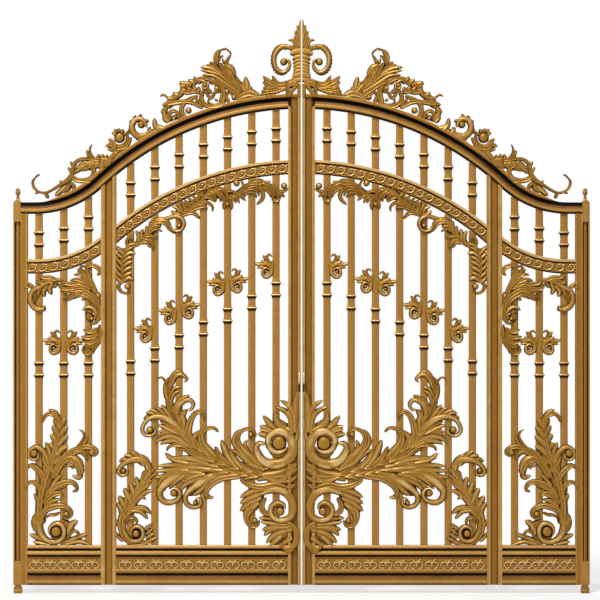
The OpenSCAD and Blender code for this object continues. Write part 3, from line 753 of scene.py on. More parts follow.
class Repeat(Sheet):
    """Geometry Nodes tree that sets copies of one motif on marked points."""

    def __init__(self) -> None:
        """Build the tree with its named inputs."""
        super().__init__(bpy.data.node_groups.new("set_on_places", "GeometryNodeTree"))
        face, given = self.tree.interface, {}
        face.new_socket("Places", in_out="OUTPUT", socket_type="NodeSocketGeometry")
        for name, kind in (("Places", "Geometry"), ("Motif", "Object"), ("Finish", "Material"),
                           ("Size", "Float"), ("Unevenness", "Float"), ("Seed", "Int")):
            face.new_socket(name, in_out="INPUT", socket_type=f"NodeSocket{kind}")
            given[name] = self.add("NodeGroupInput", output=name)
        motif = self.add("GeometryNodeObjectInfo", values={"Object": given["Motif"]},
            output="Geometry")
        spin = self.add("GeometryNodeInputNamedAttribute", {"data_type": "FLOAT_VECTOR"},
            {"Name": "spin"}, "Attribute")
        size, off = given["Size"], given["Unevenness"]
        scale = self.add("FunctionNodeRandomValue", {"data_type": "FLOAT"},
            {"Min": size - off, "Max": size + off, "Seed": given["Seed"]}, "Value")
        copies = self.add("GeometryNodeInstanceOnPoints", values={"Points": given["Places"],
            "Instance": motif, "Rotation": self.add("FunctionNodeEulerToRotation",
            values={0: spin}), "Scale": scale})
        real = self.add("GeometryNodeRealizeInstances", values={0: copies})
        done = self.add("GeometryNodeSetMaterial", values={"Geometry": real,
            "Material": given["Finish"]})
        self.plug(self.tree.nodes.new("NodeGroupOutput"), {0: done})

    def lay(self, name: str, places: Sequence[Triple], spins: Sequence[Triple],
            motif: bpy.types.Object, finish: bpy.types.Material,
            unevenness: float) -> bpy.types.Object:
        """Set the motif on places, as one plain mesh.

        Args:
            name: the new object's name.
            places: (x, y, z) of each copy, in millimetres.
            spins: turns of each copy, in radians.
            motif: the object to repeat, used up.
            finish: the material for the result.
            unevenness: half the spread of the copies' sizes.

        Returns:
            The plain mesh object.
        """
        points = bpy.data.meshes.new(name + "_places")
        points.from_pydata((np.array(places) * MM).tolist(), [], [])
        tag = points.attributes.new("spin", "FLOAT_VECTOR", "POINT")
        tag.data.foreach_set("vector", np.array(spins, np.float32).reshape(-1))
        carrier = in_scene(name + "_carrier", points)
        modifier = carrier.modifiers.new("repeat", "NODES")
        modifier.node_group = self.tree
        values = {"Motif": motif, "Finish": finish, "Size": 1.0, "Unevenness": unevenness,
            "Seed": 7}
        for item in self.tree.interface.items_tree:
            if item.in_out == "INPUT" and item.name in values:
                modifier[item.identifier] = values[item.name]
        graph = bpy.context.evaluated_depsgraph_get()
        mesh = bpy.data.meshes.new_from_object(carrier.evaluated_get(graph))
        mesh.name = name
        carrier.modifiers.remove(modifier)
        bpy.data.objects.remove(carrier)
        bpy.data.objects.remove(motif)
        smooth(mesh, 40)
        return in_scene(name, mesh)


@dataclass
class LeafPart:
    """What every sub-assembly has: its leaf and the dresser."""

    side: Side
    dresser: Dresser

    def name(self, part: str) -> str:
        """Name of a CAD node or a piece of this leaf."""
        return f"{self.side.value}_{part}"

    def finish(self, carving: Carving, part: str, slot: str, *nodes: str,
               body: str = "") -> None:
        """Make a carving a dressed piece of this leaf.

        Args:
            carving: its shells.
            part: its name without the side.
            slot: the record's material slot.
            nodes: CAD nodes that it stands for, without the side.
            body: the CAD body that it rides on, where that isn't the leaf's own.
        """
        piece = carving.make(self.name(part), self.side)
        self.dresser.dress(piece, slot, body or self.side.body, *map(self.name, nodes))

    def repeat(self, motif: Carving, part: str, slot: str, places: Sequence[Placed],
               ground: float = 0.0, unevenness: float = 0.0) -> None:
        """Make copies of a motif one dressed piece of this leaf.

        Args:
            motif: the shells to repeat, drawn round their own origin.
            part: the piece's name without the side.
            slot: the record's material slot.
            places: where the copies go.
            ground: depth of the two faces that they lie on, or 0 for the middle plane.
            unevenness: half the spread of the copies' sizes.
        """
        spots, spins, way = [], [], self.side.way
        for (u, z), slope in places:
            x, turn = PLAN.axis + way * u, -math.radians(slope) * way
            spots += [(x, -ground, z), (x, ground, z)] if ground else [(x, 0.0, z)]
            spins += [(0, turn, 0), (0, -turn, math.pi)] if ground else [(0, turn, 0)]
        piece = self.dresser.tree.lay(self.name(part), spots, spins, motif.make("motif"),
            self.dresser.finishes[slot], unevenness)
        self.dresser.dress(piece, slot, self.side.body)


# Frame members


@dataclass
class LeafFrame(LeafPart):
    """Stiles, mullion, head rail and kick rail of one leaf."""

    bead: float = 18.0
    rim: float = 16.0
    strip_runs_out: Point = (251.0, 263.0)
    notch: Point = (1049.0, 1091.0)
    bead_end: float = 2546.0
    top_knuckle: float = 104.0
    foot_knuckle: float = 123.0
    bore: float = 12.05

    def head_section(self, strip: float) -> Array:
        """Section of the head rail.

        Args:
            strip: width of its crest strip.

        Returns:
            Array of (height above the underside, y, relief).
        """
        w, stand = PLAN.head_w, 6.5 + 15.5 * min(1.0, strip / 10.0)
        s = max(strip, 0.3)
        # painted shadow along the underside and in the broad band under the crest strip, painted highlight
        # on the bead and the strip's top
        return both_faces([(0, 4, 0.0), (0, 20.5, -0.1), (7, 21, -0.1), (10, 22, 0.4),
            (14, 22, 0.95), (19, 22, 0.95), (22, 21.4, 0.5), (26, 19.4, 0.24), (33, 17, 0.08),
            (38, 14, 0.0), (41, 8.5, -0.15), (w, 6.0, -0.2), (w + 0.1, stand, 0.35),
            (w + s, stand, 1.05), (w + s, 4, 0.6)], 1.2)

    def head_rail(self) -> None:
        """The arch, the hollow sweep and the level run, in one run of sections."""
        turn, section, carving = PLAN.turn, self.head_section(PLAN.strip), Carving()
        start = np.arccos(PLAN.meet_out / (PLAN.arch.r + section[:, 0]))
        layers = [(PLAN.arch.set_out(section, start + f * (math.radians(turn) - start)),
            section[:, 2]) for f in np.linspace(0, 1, 56)]
        first, last = self.strip_runs_out
        for degrees in np.linspace(turn + 180, 270, 34)[1:]:
            left = 1 - min(1.0, max(0.0, (degrees - first) / (last - first)))
            section = self.head_section(PLAN.strip * left)
            layers.append((PLAN.sweep.set_out(section, math.radians(degrees), -1),
                section[:, 2]))
        section = self.head_section(0.0)
        layers.append((ring(PLAN.channel_in, section[:, 1], PLAN.shoulder + section[:, 0]),
            section[:, 2]))
        carving.stack(layers)
        self.finish(carving, "head_rail_look", "frame_gold", "head_arch", "head_sweep")

    def meeting_stile(self) -> None:
        """The channelled stile at the middle, open into the head rail's channel."""
        arch, carving, under = PLAN.arch, Carving(), PLAN.under
        # in these profiles: painted shadow in the channel beside each rim, painted highlight on the rims
        # and beads
        whole = both_faces([(0, 4, 0.5), (0, 22, 0.85), (self.rim - 1, 22, 1.05),
            (self.rim + 1, 12, 0.12), (22, 10.6, 0.3), (34, 11.4, 0.42), (46, 10.4, 0.25),
            (52, 9.5, 0.05), (66, 9.5, 0.05), (66, 4, 0.05)])
        cut = whole.copy()
        front = cut[:, 1] < -4.5
        cut[front, 0] = np.maximum(cut[front, 0], 8)
        cut[front & (whole[:, 0] < 9), 1] = -4.5
        # painted shade on the notch cut back behind the pull
        cut[front, 2] = np.where(whole[front, 0] < 9, 0.0, whole[front, 2])
        low, high = self.notch
        layers = [(ring(PLAN.meet_in + s[:, 0], s[:, 1], z), s[:, 2]) for s, z in
            ((whole, under), (whole, low), (cut, low + 0.2), (cut, high), (whole, high + 0.2))]
        u = PLAN.meet_in + whole[:, 0]
        top = [arch.top(v, PLAN.head_w + PLAN.strip) for v in u]
        carving.stack([*layers, (ring(u, whole[:, 1], top), whole[:, 2])])
        outer = both_faces([(0, 8, 0.1), (0, 19.5, 0.4), (2.5, 22, 0.9), (self.bead, 22, 1.05),
            (self.bead, 4, 0.6)])
        carving.upright(outer, PLAN.meet_out - self.bead, under,
            lambda v: self.bead_end - (PLAN.meet_out - v) * 0.9)
        strip = both_faces([(0, 8, 0.2), (0, 22, 0.4), (PLAN.strip, 22, 1.05),
            (PLAN.strip, 4, 0.7)])
        r = arch.r + PLAN.head_w + strip[:, 0]
        carving.shell([ring(v, strip[:, 1], arch.z + np.sqrt(r * r - v * v))
            for v in np.linspace(12, 71, 5)], strip[:, 2])
        self.finish(carving, "meeting_stile_look", "frame_gold", "meeting_stile")

    def mullion(self) -> None:
        """The broad upright between the bays, with a scooped channel."""
        carving, w = Carving(), PLAN.mull_out - PLAN.mull_in
        # painted shadow in the channel under each rim, painted highlight on the rims
        section = both_faces([(0, 4, 0.5), (0, 22, 0.85), (18.5, 22, 1.05), (20.5, 15, 0.12),
            (23, 13.4, 0.2), (27, 12.6, 0.42), (38, 11.6, 0.5), (48, 12.2, 0.36),
            (53, 13, 0.15), (55.5, 15, 0.1), (57.5, 22, 0.9), (w, 22, 1.0), (w, 4, 0.5)])
        carving.upright(section, PLAN.mull_in, PLAN.under, lambda v: 1200.0,
            lambda v: PLAN.head(v) + 3)
        self.finish(carving, "mullion_look", "frame_gold", "mullion")

    def heel_stile(self) -> None:
        """The hinge stile: face strip, channel round the post, and two bored knuckles."""
        carving, w = Carving(), PLAN.channel_in - PLAN.heel_in
        under, top = PLAN.under, PLAN.block_top
        # painted highlight on the edges of the face strip and wall, painted shade on the sunken web behind
        # the post
        face = both_faces([(0, 4, 0.5), (0, 22, 0.85), (4, 22, 1.0), (8, 20.6, 0.55),
            (w - 8, 20.6, 0.55), (w - 4, 22, 1.0), (w, 22, 0.8), (w, 4, 0.2)], 2.4)
        carving.upright(face, PLAN.heel_in, under, lambda v: PLAN.shoulder + 1)
        wall = both_faces([(0, 4, 0.3), (0, 22, 0.8), (8, 22, 1.0), (8, 4, 0.6)], 2.4)
        carving.upright(wall, PLAN.channel_out, under, lambda v: top)
        web = np.array([(-16, 18.2, 0.05), (16, 18.2, 0.05), (16, 21.8, 0.4), (-16, 21.8, 0.4)])
        carving.upright(web, PLAN.axis, under + 1, lambda v: top - 1)
        self.knuckle(carving, under, under + self.foot_knuckle)
        self.knuckle(carving, top - self.top_knuckle, top)
        self.finish(carving, "heel_stile_look", "frame_gold", "heel_stile")

    def knuckle(self, carving: Carving, low: float, high: float) -> None:
        """Add a bored block.

        Args:
            carving: where to add it.
            low: height of its foot.
            high: height of its top.
        """
        a = np.linspace(0, 2 * math.pi, 48, endpoint=False) + math.pi / 4
        c, s = np.cos(a), np.sin(a)
        m = np.maximum(np.abs(c), np.abs(s))
        inner = (self.bore * c, self.bore * s)
        shy, block = (14.5 * c / m, 20.6 * s / m), (15.5 * c / m, 22.0 * s / m)
        # painted shade in the bore, painted highlight on the block
        steps = ((inner, low, 0.1), (shy, low, 0.5), (block, low + 1.4, 0.85),
            (block, high - 1.4, 0.85), (shy, high, 0.6), (inner, high, 0.1))
        carving.shell([ring(PLAN.axis + x, y, z) for (x, y), z, _ in steps],
            [[tone] for *_, tone in steps], loop=True)

    def kick_rail(self) -> None:
        """Lower and upper mouldings of the kick rail in both bays."""
        carving = Carving()
        # painted shadow in the grooves and along the underside, painted highlight on the beads
        lower = both_faces([(0, 4, 0.0), (0, 19.5, 0.05), (4, 21, 0.12), (9, 22, 0.4),
            (13, 22, 0.9), (22, 22, 1.0), (25, 21, 0.35), (36, 17.6, 0.2), (44, 14.4, 0.05),
            (49, 8.6, -0.1), (58, 8.6, -0.1), (61, 15, 0.3), (66, 18, 0.55), (72, 19, 0.65),
            (75, 20.4, 1.0), (83, 20.4, 1.0), (84, 8, 0.2)], 1.2)
        upper = both_faces([(0, 8, 0.0), (0.5, 14, 0.3), (5, 14.4, 0.3), (7, 13.6, 0.0),
            (15, 13.6, 0.0), (18, 18, 0.5), (22, 20.6, 0.95), (31, 20.6, 1.05), (35, 19, 0.5),
            (39, 14.5, 0.0), (48, 14.5, 0.0), (51, 19, 0.35), (54, 22, 0.9), (64, 22, 1.1),
            (67, 20, 1.0), (67, 4, 0.5)], 1.2)
        for bay in PLAN.bays:
            carving.level(lower, PLAN.under, bay, 12)
            carving.level(upper, PLAN.kick_top - 67, bay, 12)
        self.finish(carving, "kick_rail_look", "frame_gold", "kick_rail")

    def make(self) -> None:
        """Build and dress the frame."""
        self.head_rail()
        self.meeting_stile()
        self.mullion()
        self.heel_stile()
        self.kick_rail()


# Patterned bands and kick panels


@dataclass
class Patterns(LeafPart):
    """Curved bands and kick panels of one leaf, with their repeated ornament."""

    rosette_pitch: float = 55.0
    rosette_line: float = 32.0
    trefoil_pitch: float = 81.0
    ground: float = 12.0
    panel_ground: float = 14.6
    unevenness: float = 0.012

    def petal(self, carving: Carving, points: Sequence[Point], width: float,
              stand: float, stations: int = 5) -> None:
        """Add a small leaf or curl to a motif.

        Args:
            carving: the motif.
            points: its middle line.
            width: its greatest width.
            stand: how far it stands off the ground.
            stations: how many points its line is drawn with.
        """
        line = curve_through(points, stations)
        half = width / 2 * np.interp(np.linspace(0, 4, stations), range(5),
            (0.5, 0.95, 1.0, 0.7, 0.12))
        rise = np.array([0.0, 0.82, 1.0, 0.82, 0.0])
        plane = across(line, half, np.array([-1.0, -0.5, 0.0, 0.5, 1.0]))
        u, z = plane[..., 0], plane[..., 1]
        face = np.dstack([u, np.tile(-stand * rise, (stations, 1)), z])
        base = np.dstack([u, np.full((stations, 5), 1.5), z])[:, ::-1]
        # painted shade at the edges and base, painted highlight on the middle
        carving.shell(np.concatenate([face, base], axis=1), [*(1.25 * rise), *np.zeros(5)])

    def rosette(self) -> Carving:
        """Draw the bands' motif.

        Returns:
            A running scroll with a leaf in its curl.
        """
        carving = Carving()
        self.petal(carving, [(-30, -10), (-12, -19), (11, -14), (19, 3), (6, 17), (-9, 12),
            (-12, -1), (-2, -8), (6, -1)], 11.0, 5.8, 16)
        self.petal(carving, [(-4, 4), (2, 4), (8, -2)], 9.0, 5.0)
        self.petal(carving, [(14, 12), (21, 15), (27, 8)], 9.0, 4.4)
        return carving

    def trefoil(self) -> Carving:
        """Draw the kick panels' motif.

        Returns:
            Two curled rings under a small leaf.
        """
        carving = Carving()
        for way in (-1, 1):
            self.petal(carving, [(way * 3, 0), (way * 12, 9), (way * 27, 5), (way * 33, -10),
                (way * 23, -23), (way * 9, -20), (way * 7, -8), (way * 17, -4)], 11.0, 7.2, 16)
            self.petal(carving, [(way * 13, -7), (way * 18, -9), (way * 21, -15)], 9.0, 6.4)
            self.petal(carving, [(way * 4, -2), (way * 10, 14), (way * 22, 24)], 14.0, 6.4)
        self.petal(carving, [(0, -18), (0, 8), (0, 29)], 13.0, 6.8)
        return carving

    def band_places(self) -> list[Placed]:
        """Set out the rosettes along both bands.

        Returns:
            Where each goes, square to its band.
        """
        wide, narrow, mid = PLAN.wide_band, PLAN.side_band, self.rosette_line
        r = wide.r + mid
        low, high = math.acos((PLAN.mull_in - 30) / r), math.acos((PLAN.meet_out + 28) / r)
        count = round((high - low) * r / self.rosette_pitch)
        places = [(wide.at(a, mid), a - 90)
            for a in np.linspace(math.degrees(low), math.degrees(high), count + 1)]
        r = narrow.r - mid
        low = 180 + math.degrees(math.acos((narrow.u - PLAN.mull_out - 28) / r))
        high = 270 + math.degrees((PLAN.heel_in - 24 - narrow.u) / r)
        count = round(math.radians(high - low) * r / self.rosette_pitch)
        for a in np.linspace(low, high, count + 1):
            if a <= 270:
                places.append((narrow.at(a, -mid), a - 270))
            else:
                run = math.radians(a - 270) * r
                places.append(((narrow.u + run, PLAN.side_band_z + mid), 0.0))
        return places

    def panel_places(self) -> list[Placed]:
        """Set out the trefoils along both kick panels.

        Returns:
            Where each goes, upright.
        """
        places = []
        for u0, u1 in PLAN.bays:
            count = round((u1 - u0) / self.trefoil_pitch)
            pitch = (u1 - u0 - 16) / count
            places += [((u0 + 8 + (i + 0.5) * pitch, PLAN.under + 110.0), 0.0)
                for i in range(count)]
        return places

    def bands(self) -> None:
        """The two curved bands with their beads and rosettes."""
        # painted shadow along the lower edge and beside the beads, painted highlight on the upper bead
        section = both_faces([(0, 3, 0.0), (0, 12.5, 0.0), (5, 13, 0.0), (6, 15, 0.3),
            (9, 15, 0.6), (11, self.ground, 0.4), (50, self.ground, 0.5), (55, self.ground, 0.0),
            (59, 13, 0.0), (61, 18, 0.9), (64, 18, 1.1), (75, 18, 1.15), (75, 3, 0.3)], 1.2)
        carving, wide, narrow = Carving(), PLAN.wide_band, PLAN.side_band
        r = wide.r + section[:, 0]
        start, end = np.arccos(PLAN.mull_in / r), np.arccos(PLAN.meet_out / r)
        carving.shell([wide.set_out(section, start + f * (end - start))
            for f in np.linspace(0, 1, 44)], section[:, 2])
        start = math.pi + np.arccos((narrow.u - PLAN.mull_out) / (narrow.r - section[:, 0]))
        end = 1.5 * math.pi
        rings = [narrow.set_out(section, start + f * (end - start), -1)
            for f in np.linspace(0, 1, 24)]
        level = ring(PLAN.heel_in, section[:, 1], PLAN.side_band_z + section[:, 0])
        carving.shell([*rings, level], section[:, 2])
        self.finish(carving, "bands_look", "panel_gold", "bands")
        self.repeat(self.rosette(), "band_rosettes", "panel_gold", self.band_places(),
            self.ground, self.unevenness)

    def panels(self) -> None:
        """The recessed kick panels with their trefoils."""
        carving, d, under = Carving(), self.panel_ground, PLAN.under
        # painted shade: the ground darkens toward its top edge under the moulding, and the end pieces are
        # darker at their edges
        section = both_faces([(0, 3, 0.4), (0, d, 0.7), (8, d, 0.6), (47, d, 0.5),
            (55, d, 0.3), (55, 3, 0.0)], 0.3)
        end = both_faces([(0, 3, 0.3), (0, 19, 0.5), (9, 19, 0.9), (9, 3, 0.3)], 3)
        for bay in PLAN.bays:
            carving.level(section, under + 84, bay, 10)
            for u in (bay[0], bay[1] - 9):
                carving.upright(end, u, under + 80, lambda v: under + 143)
        self.finish(carving, "kick_panels_look", "panel_gold", "kick_panels")
        self.repeat(self.trefoil(), "kick_trefoils", "panel_gold", self.panel_places(),
            self.panel_ground, self.unevenness)

    def make(self) -> None:
        """Build and dress the bands and panels."""
        self.bands()
        self.panels()


# Bars and collars


@dataclass
class Bars(LeafPart):
    """Upright bars of one leaf with their paired collars."""

    half_w: float = 19.0
    half_d: float = 12.0
    chamfer: float = 4.5
    flare: float = 4.6
    flare_reach: float = 13.0

    def outline(self, u: float, z: float, w: float, d: float) -> Array:
        """Chamfered rectangle round a bar.

        Args:
            u: the bar's place.
            z: height.
            w: half the width.
            d: half the depth.

        Returns:
            Ring of twelve points.
        """
        c, soft = self.chamfer, 0.3 * self.chamfer
        x = [c - w, w - c, w - soft, w, w, w - soft, w - c, c - w, soft - w, -w, -w, soft - w]
        y = [-d, -d, soft - d, c - d, d - c, d - soft, d, d, d - soft, d - c, c - d, soft - d]
        return ring(u + np.array(x), y, z)

    def bar(self, carving: Carving, u: float, low: float, high: float,
            collars: Sequence[float]) -> None:
        """Add one bar that swells at its collars.

        Args:
            carving: where to add it.
            u: its place.
            low: height of its foot.
            high: height of its top.
            collars: heights of its collars.
        """
        heights = {low, high}
        for z in collars:
            heights |= {z + k * self.flare_reach * 0.42 for k in range(-5, 6)}
        layers = []
        for z in sorted(h for h in heights if low <= h <= high):
            near = max(math.exp(-((z - c) / self.flare_reach) ** 2) for c in collars)
            w, d = self.half_w + self.flare * near, self.half_d + 2.6 * near
            outline = self.outline(u, z, w, d)
            # painted shadow under each collar, and painted shade on the bar's sides, which are darker than
            # its front and back
            drop = max(math.exp(-((z - c + 11) / 6) ** 2) for c in collars)
            tone = np.where(np.abs(outline[:, 1]) > d - 0.1, 0.66, 0.4) * (1 - 0.9 * drop)
            layers.append((outline, tone))
        carving.stack(layers)

    def collar(self) -> Carving:
        """Draw the collar.

        Returns:
            A flat disc over a tapered shoulder.
        """
        carving = Carving()
        # painted highlight on the top disc, painted shadow on the shoulder under it
        carving.stack([(self.outline(0, z, w, d), tone) for z, w, d, tone in (
            (-9.5, 22.0, 14.0, 0.0), (-4.5, 25.0, 16.2, 0.03), (-2.5, 26.6, 17.6, 0.12),
            (0.0, 27.0, 18.0, 0.8), (3.2, 27.0, 18.0, 1.15), (5.0, 25.6, 16.8, 1.15),
            (5.5, 22.0, 14.0, 1.0))])
        return carving

    def make(self) -> None:
        """Build the bars, then set every collar with the repeat tree."""
        long_ones, short_ones, places = Carving(), Carving(), []
        collars = [PLAN.wide_collar(i) for i in range(7)]
        for bars, collars, band, way in ((PLAN.wide_bars, collars, PLAN.wide_band.top, 1),
                (PLAN.side_bars, [PLAN.side_collar] * 3, PLAN.side_band.bottom, -1)):
            for u, lower in zip(bars, collars):
                head, band_top = PLAN.head(u), band(u, way * PLAN.band_w)
                upper = head - PLAN.short_collar_drop
                pairs = [(z, z - PLAN.collar_pitch) for z in (lower, upper)]
                self.bar(long_ones, u, PLAN.kick_top - 2, band(u) + 6, pairs[0])
                self.bar(short_ones, u, band_top - 6, head + 6, pairs[1])
                places += [((u, z), 0.0) for pair in pairs for z in pair]
        self.finish(long_ones, "long_bars_look", "bar_gold", "long_bars")
        self.finish(short_ones, "short_bars_look", "bar_gold", "short_bars")
        self.repeat(self.collar(), "collars", "bar_gold", places)


# Posts and pull


@dataclass
class Post(LeafPart):
    """One hinge post with its foot, thrust collar and finial."""

    def make(self) -> None:
        """Build and dress the post."""
        shaft, foot, finial = Carving(), Carving(), Carving()
        shaft.lathe([(16.2, 32), (17, 32.8), (17, 42.9), (16.2, 43.7), (12, 43.7), (12, 300),
            (12, 1200), (12, 2041.3)])
        layers = []
        # painted shade in the groove, painted highlight on the bands
        for z, h, tone in ((0, 20, 0.3), (1.2, 21, 0.6), (20, 21, 0.85), (22, 19.6, 0.2),
                (24, 19.6, 0.2), (26, 21, 0.9), (30.6, 21, 1.0), (32, 19.8, 0.7)):
            x = np.array([h, h - 2, 2 - h, -h, -h, 2 - h, h - 2, h])
            layers.append((ring(PLAN.axis + x, np.roll(x, 2), z), tone))
        foot.stack(layers)
        top = PLAN.block_top + 0.3
        finial.lathe([(r, top + h) for r, h in ((17.5, 0), (19, 1), (19, 3), (16.5, 5), (11, 11),
            (7.4, 18), (6.2, 21), (9.4, 23), (10, 25), (8.6, 27), (5.2, 29), (6, 31), (9, 35),
            (12, 40), (13, 46), (13, 53), (11.4, 58), (10, 60.5), (10.4, 62), (12, 63.4),
            (12, 65.4), (9.6, 67.4), (6.6, 69.4), (3.4, 71.2), (0.6, 72))])
        for part, carving in (("post", shaft), ("post_foot", foot), ("post_finial", finial)):
            self.finish(carving, f"{part}_look", "post_bronze", part, body="posts")


@dataclass
class Pull(LeafPart):
    """One half of the fixed pull in the middle."""

    low: float = 1096.0
    squareness: float = 0.55

    def make(self) -> None:
        """Build and dress the pull."""
        carving, layers = Carving(), []
        a = np.linspace(0, 2 * math.pi, 18, endpoint=False)
        c, s = (np.sign(v) * np.abs(v) ** self.squareness for v in (np.cos(a), np.sin(a)))
        for h, front, half in ((0, 54, 2.2), (1.5, 57, 3.6), (6, 60, 4.4), (14, 63, 4.9),
                (22, 64, 5.3), (34, 62.5, 5.5), (46, 59, 5.5), (52, 56, 5.3), (55.5, 46, 4.6),
                (57.5, 36, 4.0)):
            back = 21.0 + max(0.0, 14 - h) * 1.1
            mid, reach = -(front + back) / 2, (front - back) / 2
            y = mid + reach * s
            # painted highlight: the half facing the front is paler
            layers.append((ring(PLAN.meet_in + 8 + half * c, y, self.low + h),
                0.45 + 0.6 * np.clip(-(y - mid) / reach, 0, 1)))
        carving.stack(layers)
        self.finish(carving, "pull_look", "handle_gold", "pull_handle")


# Castings


@dataclass
class Foliage:
    """Stems, leaves and scrolls, drawn in millimetres on a casting's own plan.

    A stroke's places follow each other in a row: how far along the plan, then how far up.
    """

    carving: Carving
    place: Callable[[Array], Array]
    edge: float = 13.0
    crest: float = 24.5
    frame_edge: float = 22.8
    most: float = 29.4
    station: float = 7.0
    leaf_fullness: float = 1.3
    stem_fullness: float = 1.25

    def line(self, row: Sequence[float]) -> Array:
        """Smooth line through a row of places.

        Args:
            row: the places, on the plan.

        Returns:
            Points as (u, z), about a station apart.
        """
        points = np.reshape(row, (-1, 2))
        run = np.linalg.norm(np.diff(points, axis=0), axis=1).sum()
        return self.place(curve_through(points, int(np.clip(run / self.station, 9, 46))))

    def lay(self, line: Array, half: Array, crest: Array, section: Section,
            tone: Point) -> None:
        """Add a stroke that climbs onto the stiles, the mullion and the kick rail.

        Args:
            line: points of its middle line, as (u, z).
            half: half-width at each point.
            crest: depth of its crest at each point.
            section: how its surface rises.
            tone: relief at its edges and on its crest.
        """
        u, z = line[:, 0], line[:, 1]
        mullion = (PLAN.mull_in + PLAN.mull_out) / 2
        clear = np.min([u - PLAN.meet_out - 8, np.abs(u - mullion) - 45, PLAN.heel_in - 5 - u,
            z - PLAN.kick_top - 6], axis=0)
        over = np.clip(-clear / 10, 0, 1)
        edge = self.edge + (self.frame_edge - self.edge) * over
        top = np.minimum(np.maximum(crest + 4.6 * over, edge + 1), self.most)
        self.carving.stroke(line, half, top, edge, section, tone)

    def stem(self, widths: Sequence[float], *row: float, root: float = 0.0,
             lift: float = 1.0, section: Section = Section.VEINED,
             tone: Point = (0.08, 1.0)) -> None:
        """Add a stem.

        Args:
            widths: widths that it runs through, spread evenly along it.
            row: its middle line's places.
            root: how far its crest stands over the casting's where it starts.
            lift: how far the rest of its crest stands over the casting's.
            section: how its surface rises.
            tone: relief at its edges and on its crest.
        """
        line = self.line(row)
        s = np.linspace(0, 1, len(line))
        half = 0.5 * np.interp(s, np.linspace(0, 1, len(widths)), widths)
        half = half * self.stem_fullness
        stand = self.crest - self.edge + np.interp(s, (0.05, 0.4), (root, lift))
        crest = self.edge + stand * np.clip(half / 8, 0.35, 1)
        half[[0, -1]] *= 0.4
        half[[1, -2]] *= 0.85
        self.lay(line, half, crest, section, tone)

    def scroll(self, widths: Sequence[float], *row: float, root: float = -5.0) -> None:
        """Add a smooth band that curls in on itself, proud of the leaves round it."""
        self.stem([1.1 * w for w in widths], *row, root=root, lift=4.0,
            section=Section.ROUND, tone=(0.05, 0.84))

    def web(self, widths: Sequence[float], *row: float) -> None:
        """Add the low metal behind a group of leaves."""
        # kept darker than the leaves in front of it: painted shade
        self.stem(widths, *row, root=-5.0, lift=-5.0, section=Section.ROUND, tone=(0.12, 0.5))

    def blade(self, width: float, row: Sequence[float], lift: float = 0.0) -> None:
        """Add one pointed lobe.

        Args:
            width: its greatest width.
            row: its places from root to tip.
            lift: how far its crest stands over the casting's at its root.
        """
        line = self.line(row)
        s = np.linspace(0, 1, len(line))
        half = 0.5 * width * np.minimum(1, 0.65 + 1.5 * s) * (1 - s**4) ** 0.6
        half = np.maximum(half * self.leaf_fullness, 0.8)
        self.lay(line, half, self.crest + lift - 5.0 * s, Section.RIDGED, (0.05, 1.0))

    def blades(self, width: float, *rows: Sequence[float]) -> None:
        """Add lobes of one width, each a little lower than the one before."""
        for i, row in enumerate(rows):
            self.blade(width, row, -0.5 * (i % 3))

    def frond(self, width: float, lobes: int, *row: float, splay: float = 66.0) -> None:
        """Add a leaf with lobes down both sides of its rib.

        Args:
            width: width over its widest lobes.
            lobes: how many lobes on a side.
            row: its rib's places, from root to tip.
            splay: angle in degrees between the rib and its lowest lobes.
        """
        rib = curve_through(np.reshape(row, (-1, 2)), 4 * lobes + 3)
        ahead = np.gradient(rib, axis=0)
        ahead /= np.linalg.norm(ahead, axis=1)[:, None]
        self.web((0.3 * width, 0.5 * width, 0.4 * width, 0.15 * width), *rib[::4].ravel())
        for i in range(lobes):
            f, root, along = i / lobes, rib[4 * i + 1], ahead[4 * i + 1]
            lean = splay * (1 - 0.45 * f)
            reach = min(1.0, 0.65 + 1.5 * f) * (1 - f**2) ** 0.5 / math.sin(math.radians(lean))
            reach = width * (0.5 * reach + 0.1)
            for hand in (-1, 1):
                out = turned(along, hand * lean)
                bend = turned(along, hand * lean * 0.45)
                tip = root + reach * out + 0.25 * reach * along
                middle = root + 0.5 * reach * bend + 0.12 * reach * out
                self.blade(0.36 * width, (*root, *middle, *tip), -1.0 - f)
        self.blade(0.34 * width, rib[-6:].ravel())
        self.stem((5, 5, 4, 3), *rib[::3].ravel(), lift=2.0, section=Section.ROUND)

    def balls(self, r: float, *row: float) -> None:
        """Add beads of one radius at the hearts of scrolls."""
        for middle in self.place(np.reshape(row, (-1, 2))):
            self.carving.button(tuple(middle), r, self.edge - 4, self.crest + 3)


@dataclass
class Casting(LeafPart):
    """One casting of a leaf, carved on its own plan and set in its place."""

    part: str = ""
    origin: Point = (0.0, 0.0)
    crest: float = 24.5

    def place(self, p: Array) -> Array:
        """Turn points of the plan into (u, z)."""
        return p + np.array(self.origin)

    def carve(self, f: Foliage) -> None:
        """Draw the casting's stems, leaves and scrolls."""

    def draw(self, carving: Carving) -> None:
        """Lay every drawing of the casting on its plan."""
        self.carve(Foliage(carving, self.place, crest=self.crest))

    def make(self) -> None:
        """Carve the casting and dress it."""
        carving = Carving()
        self.draw(carving)
        # paint shade into the sunken places of the carving and light onto its proud ones
        carving.paint_depth_shade()
        self.finish(carving, f"{self.part}_carved", "casting_gold", self.part)


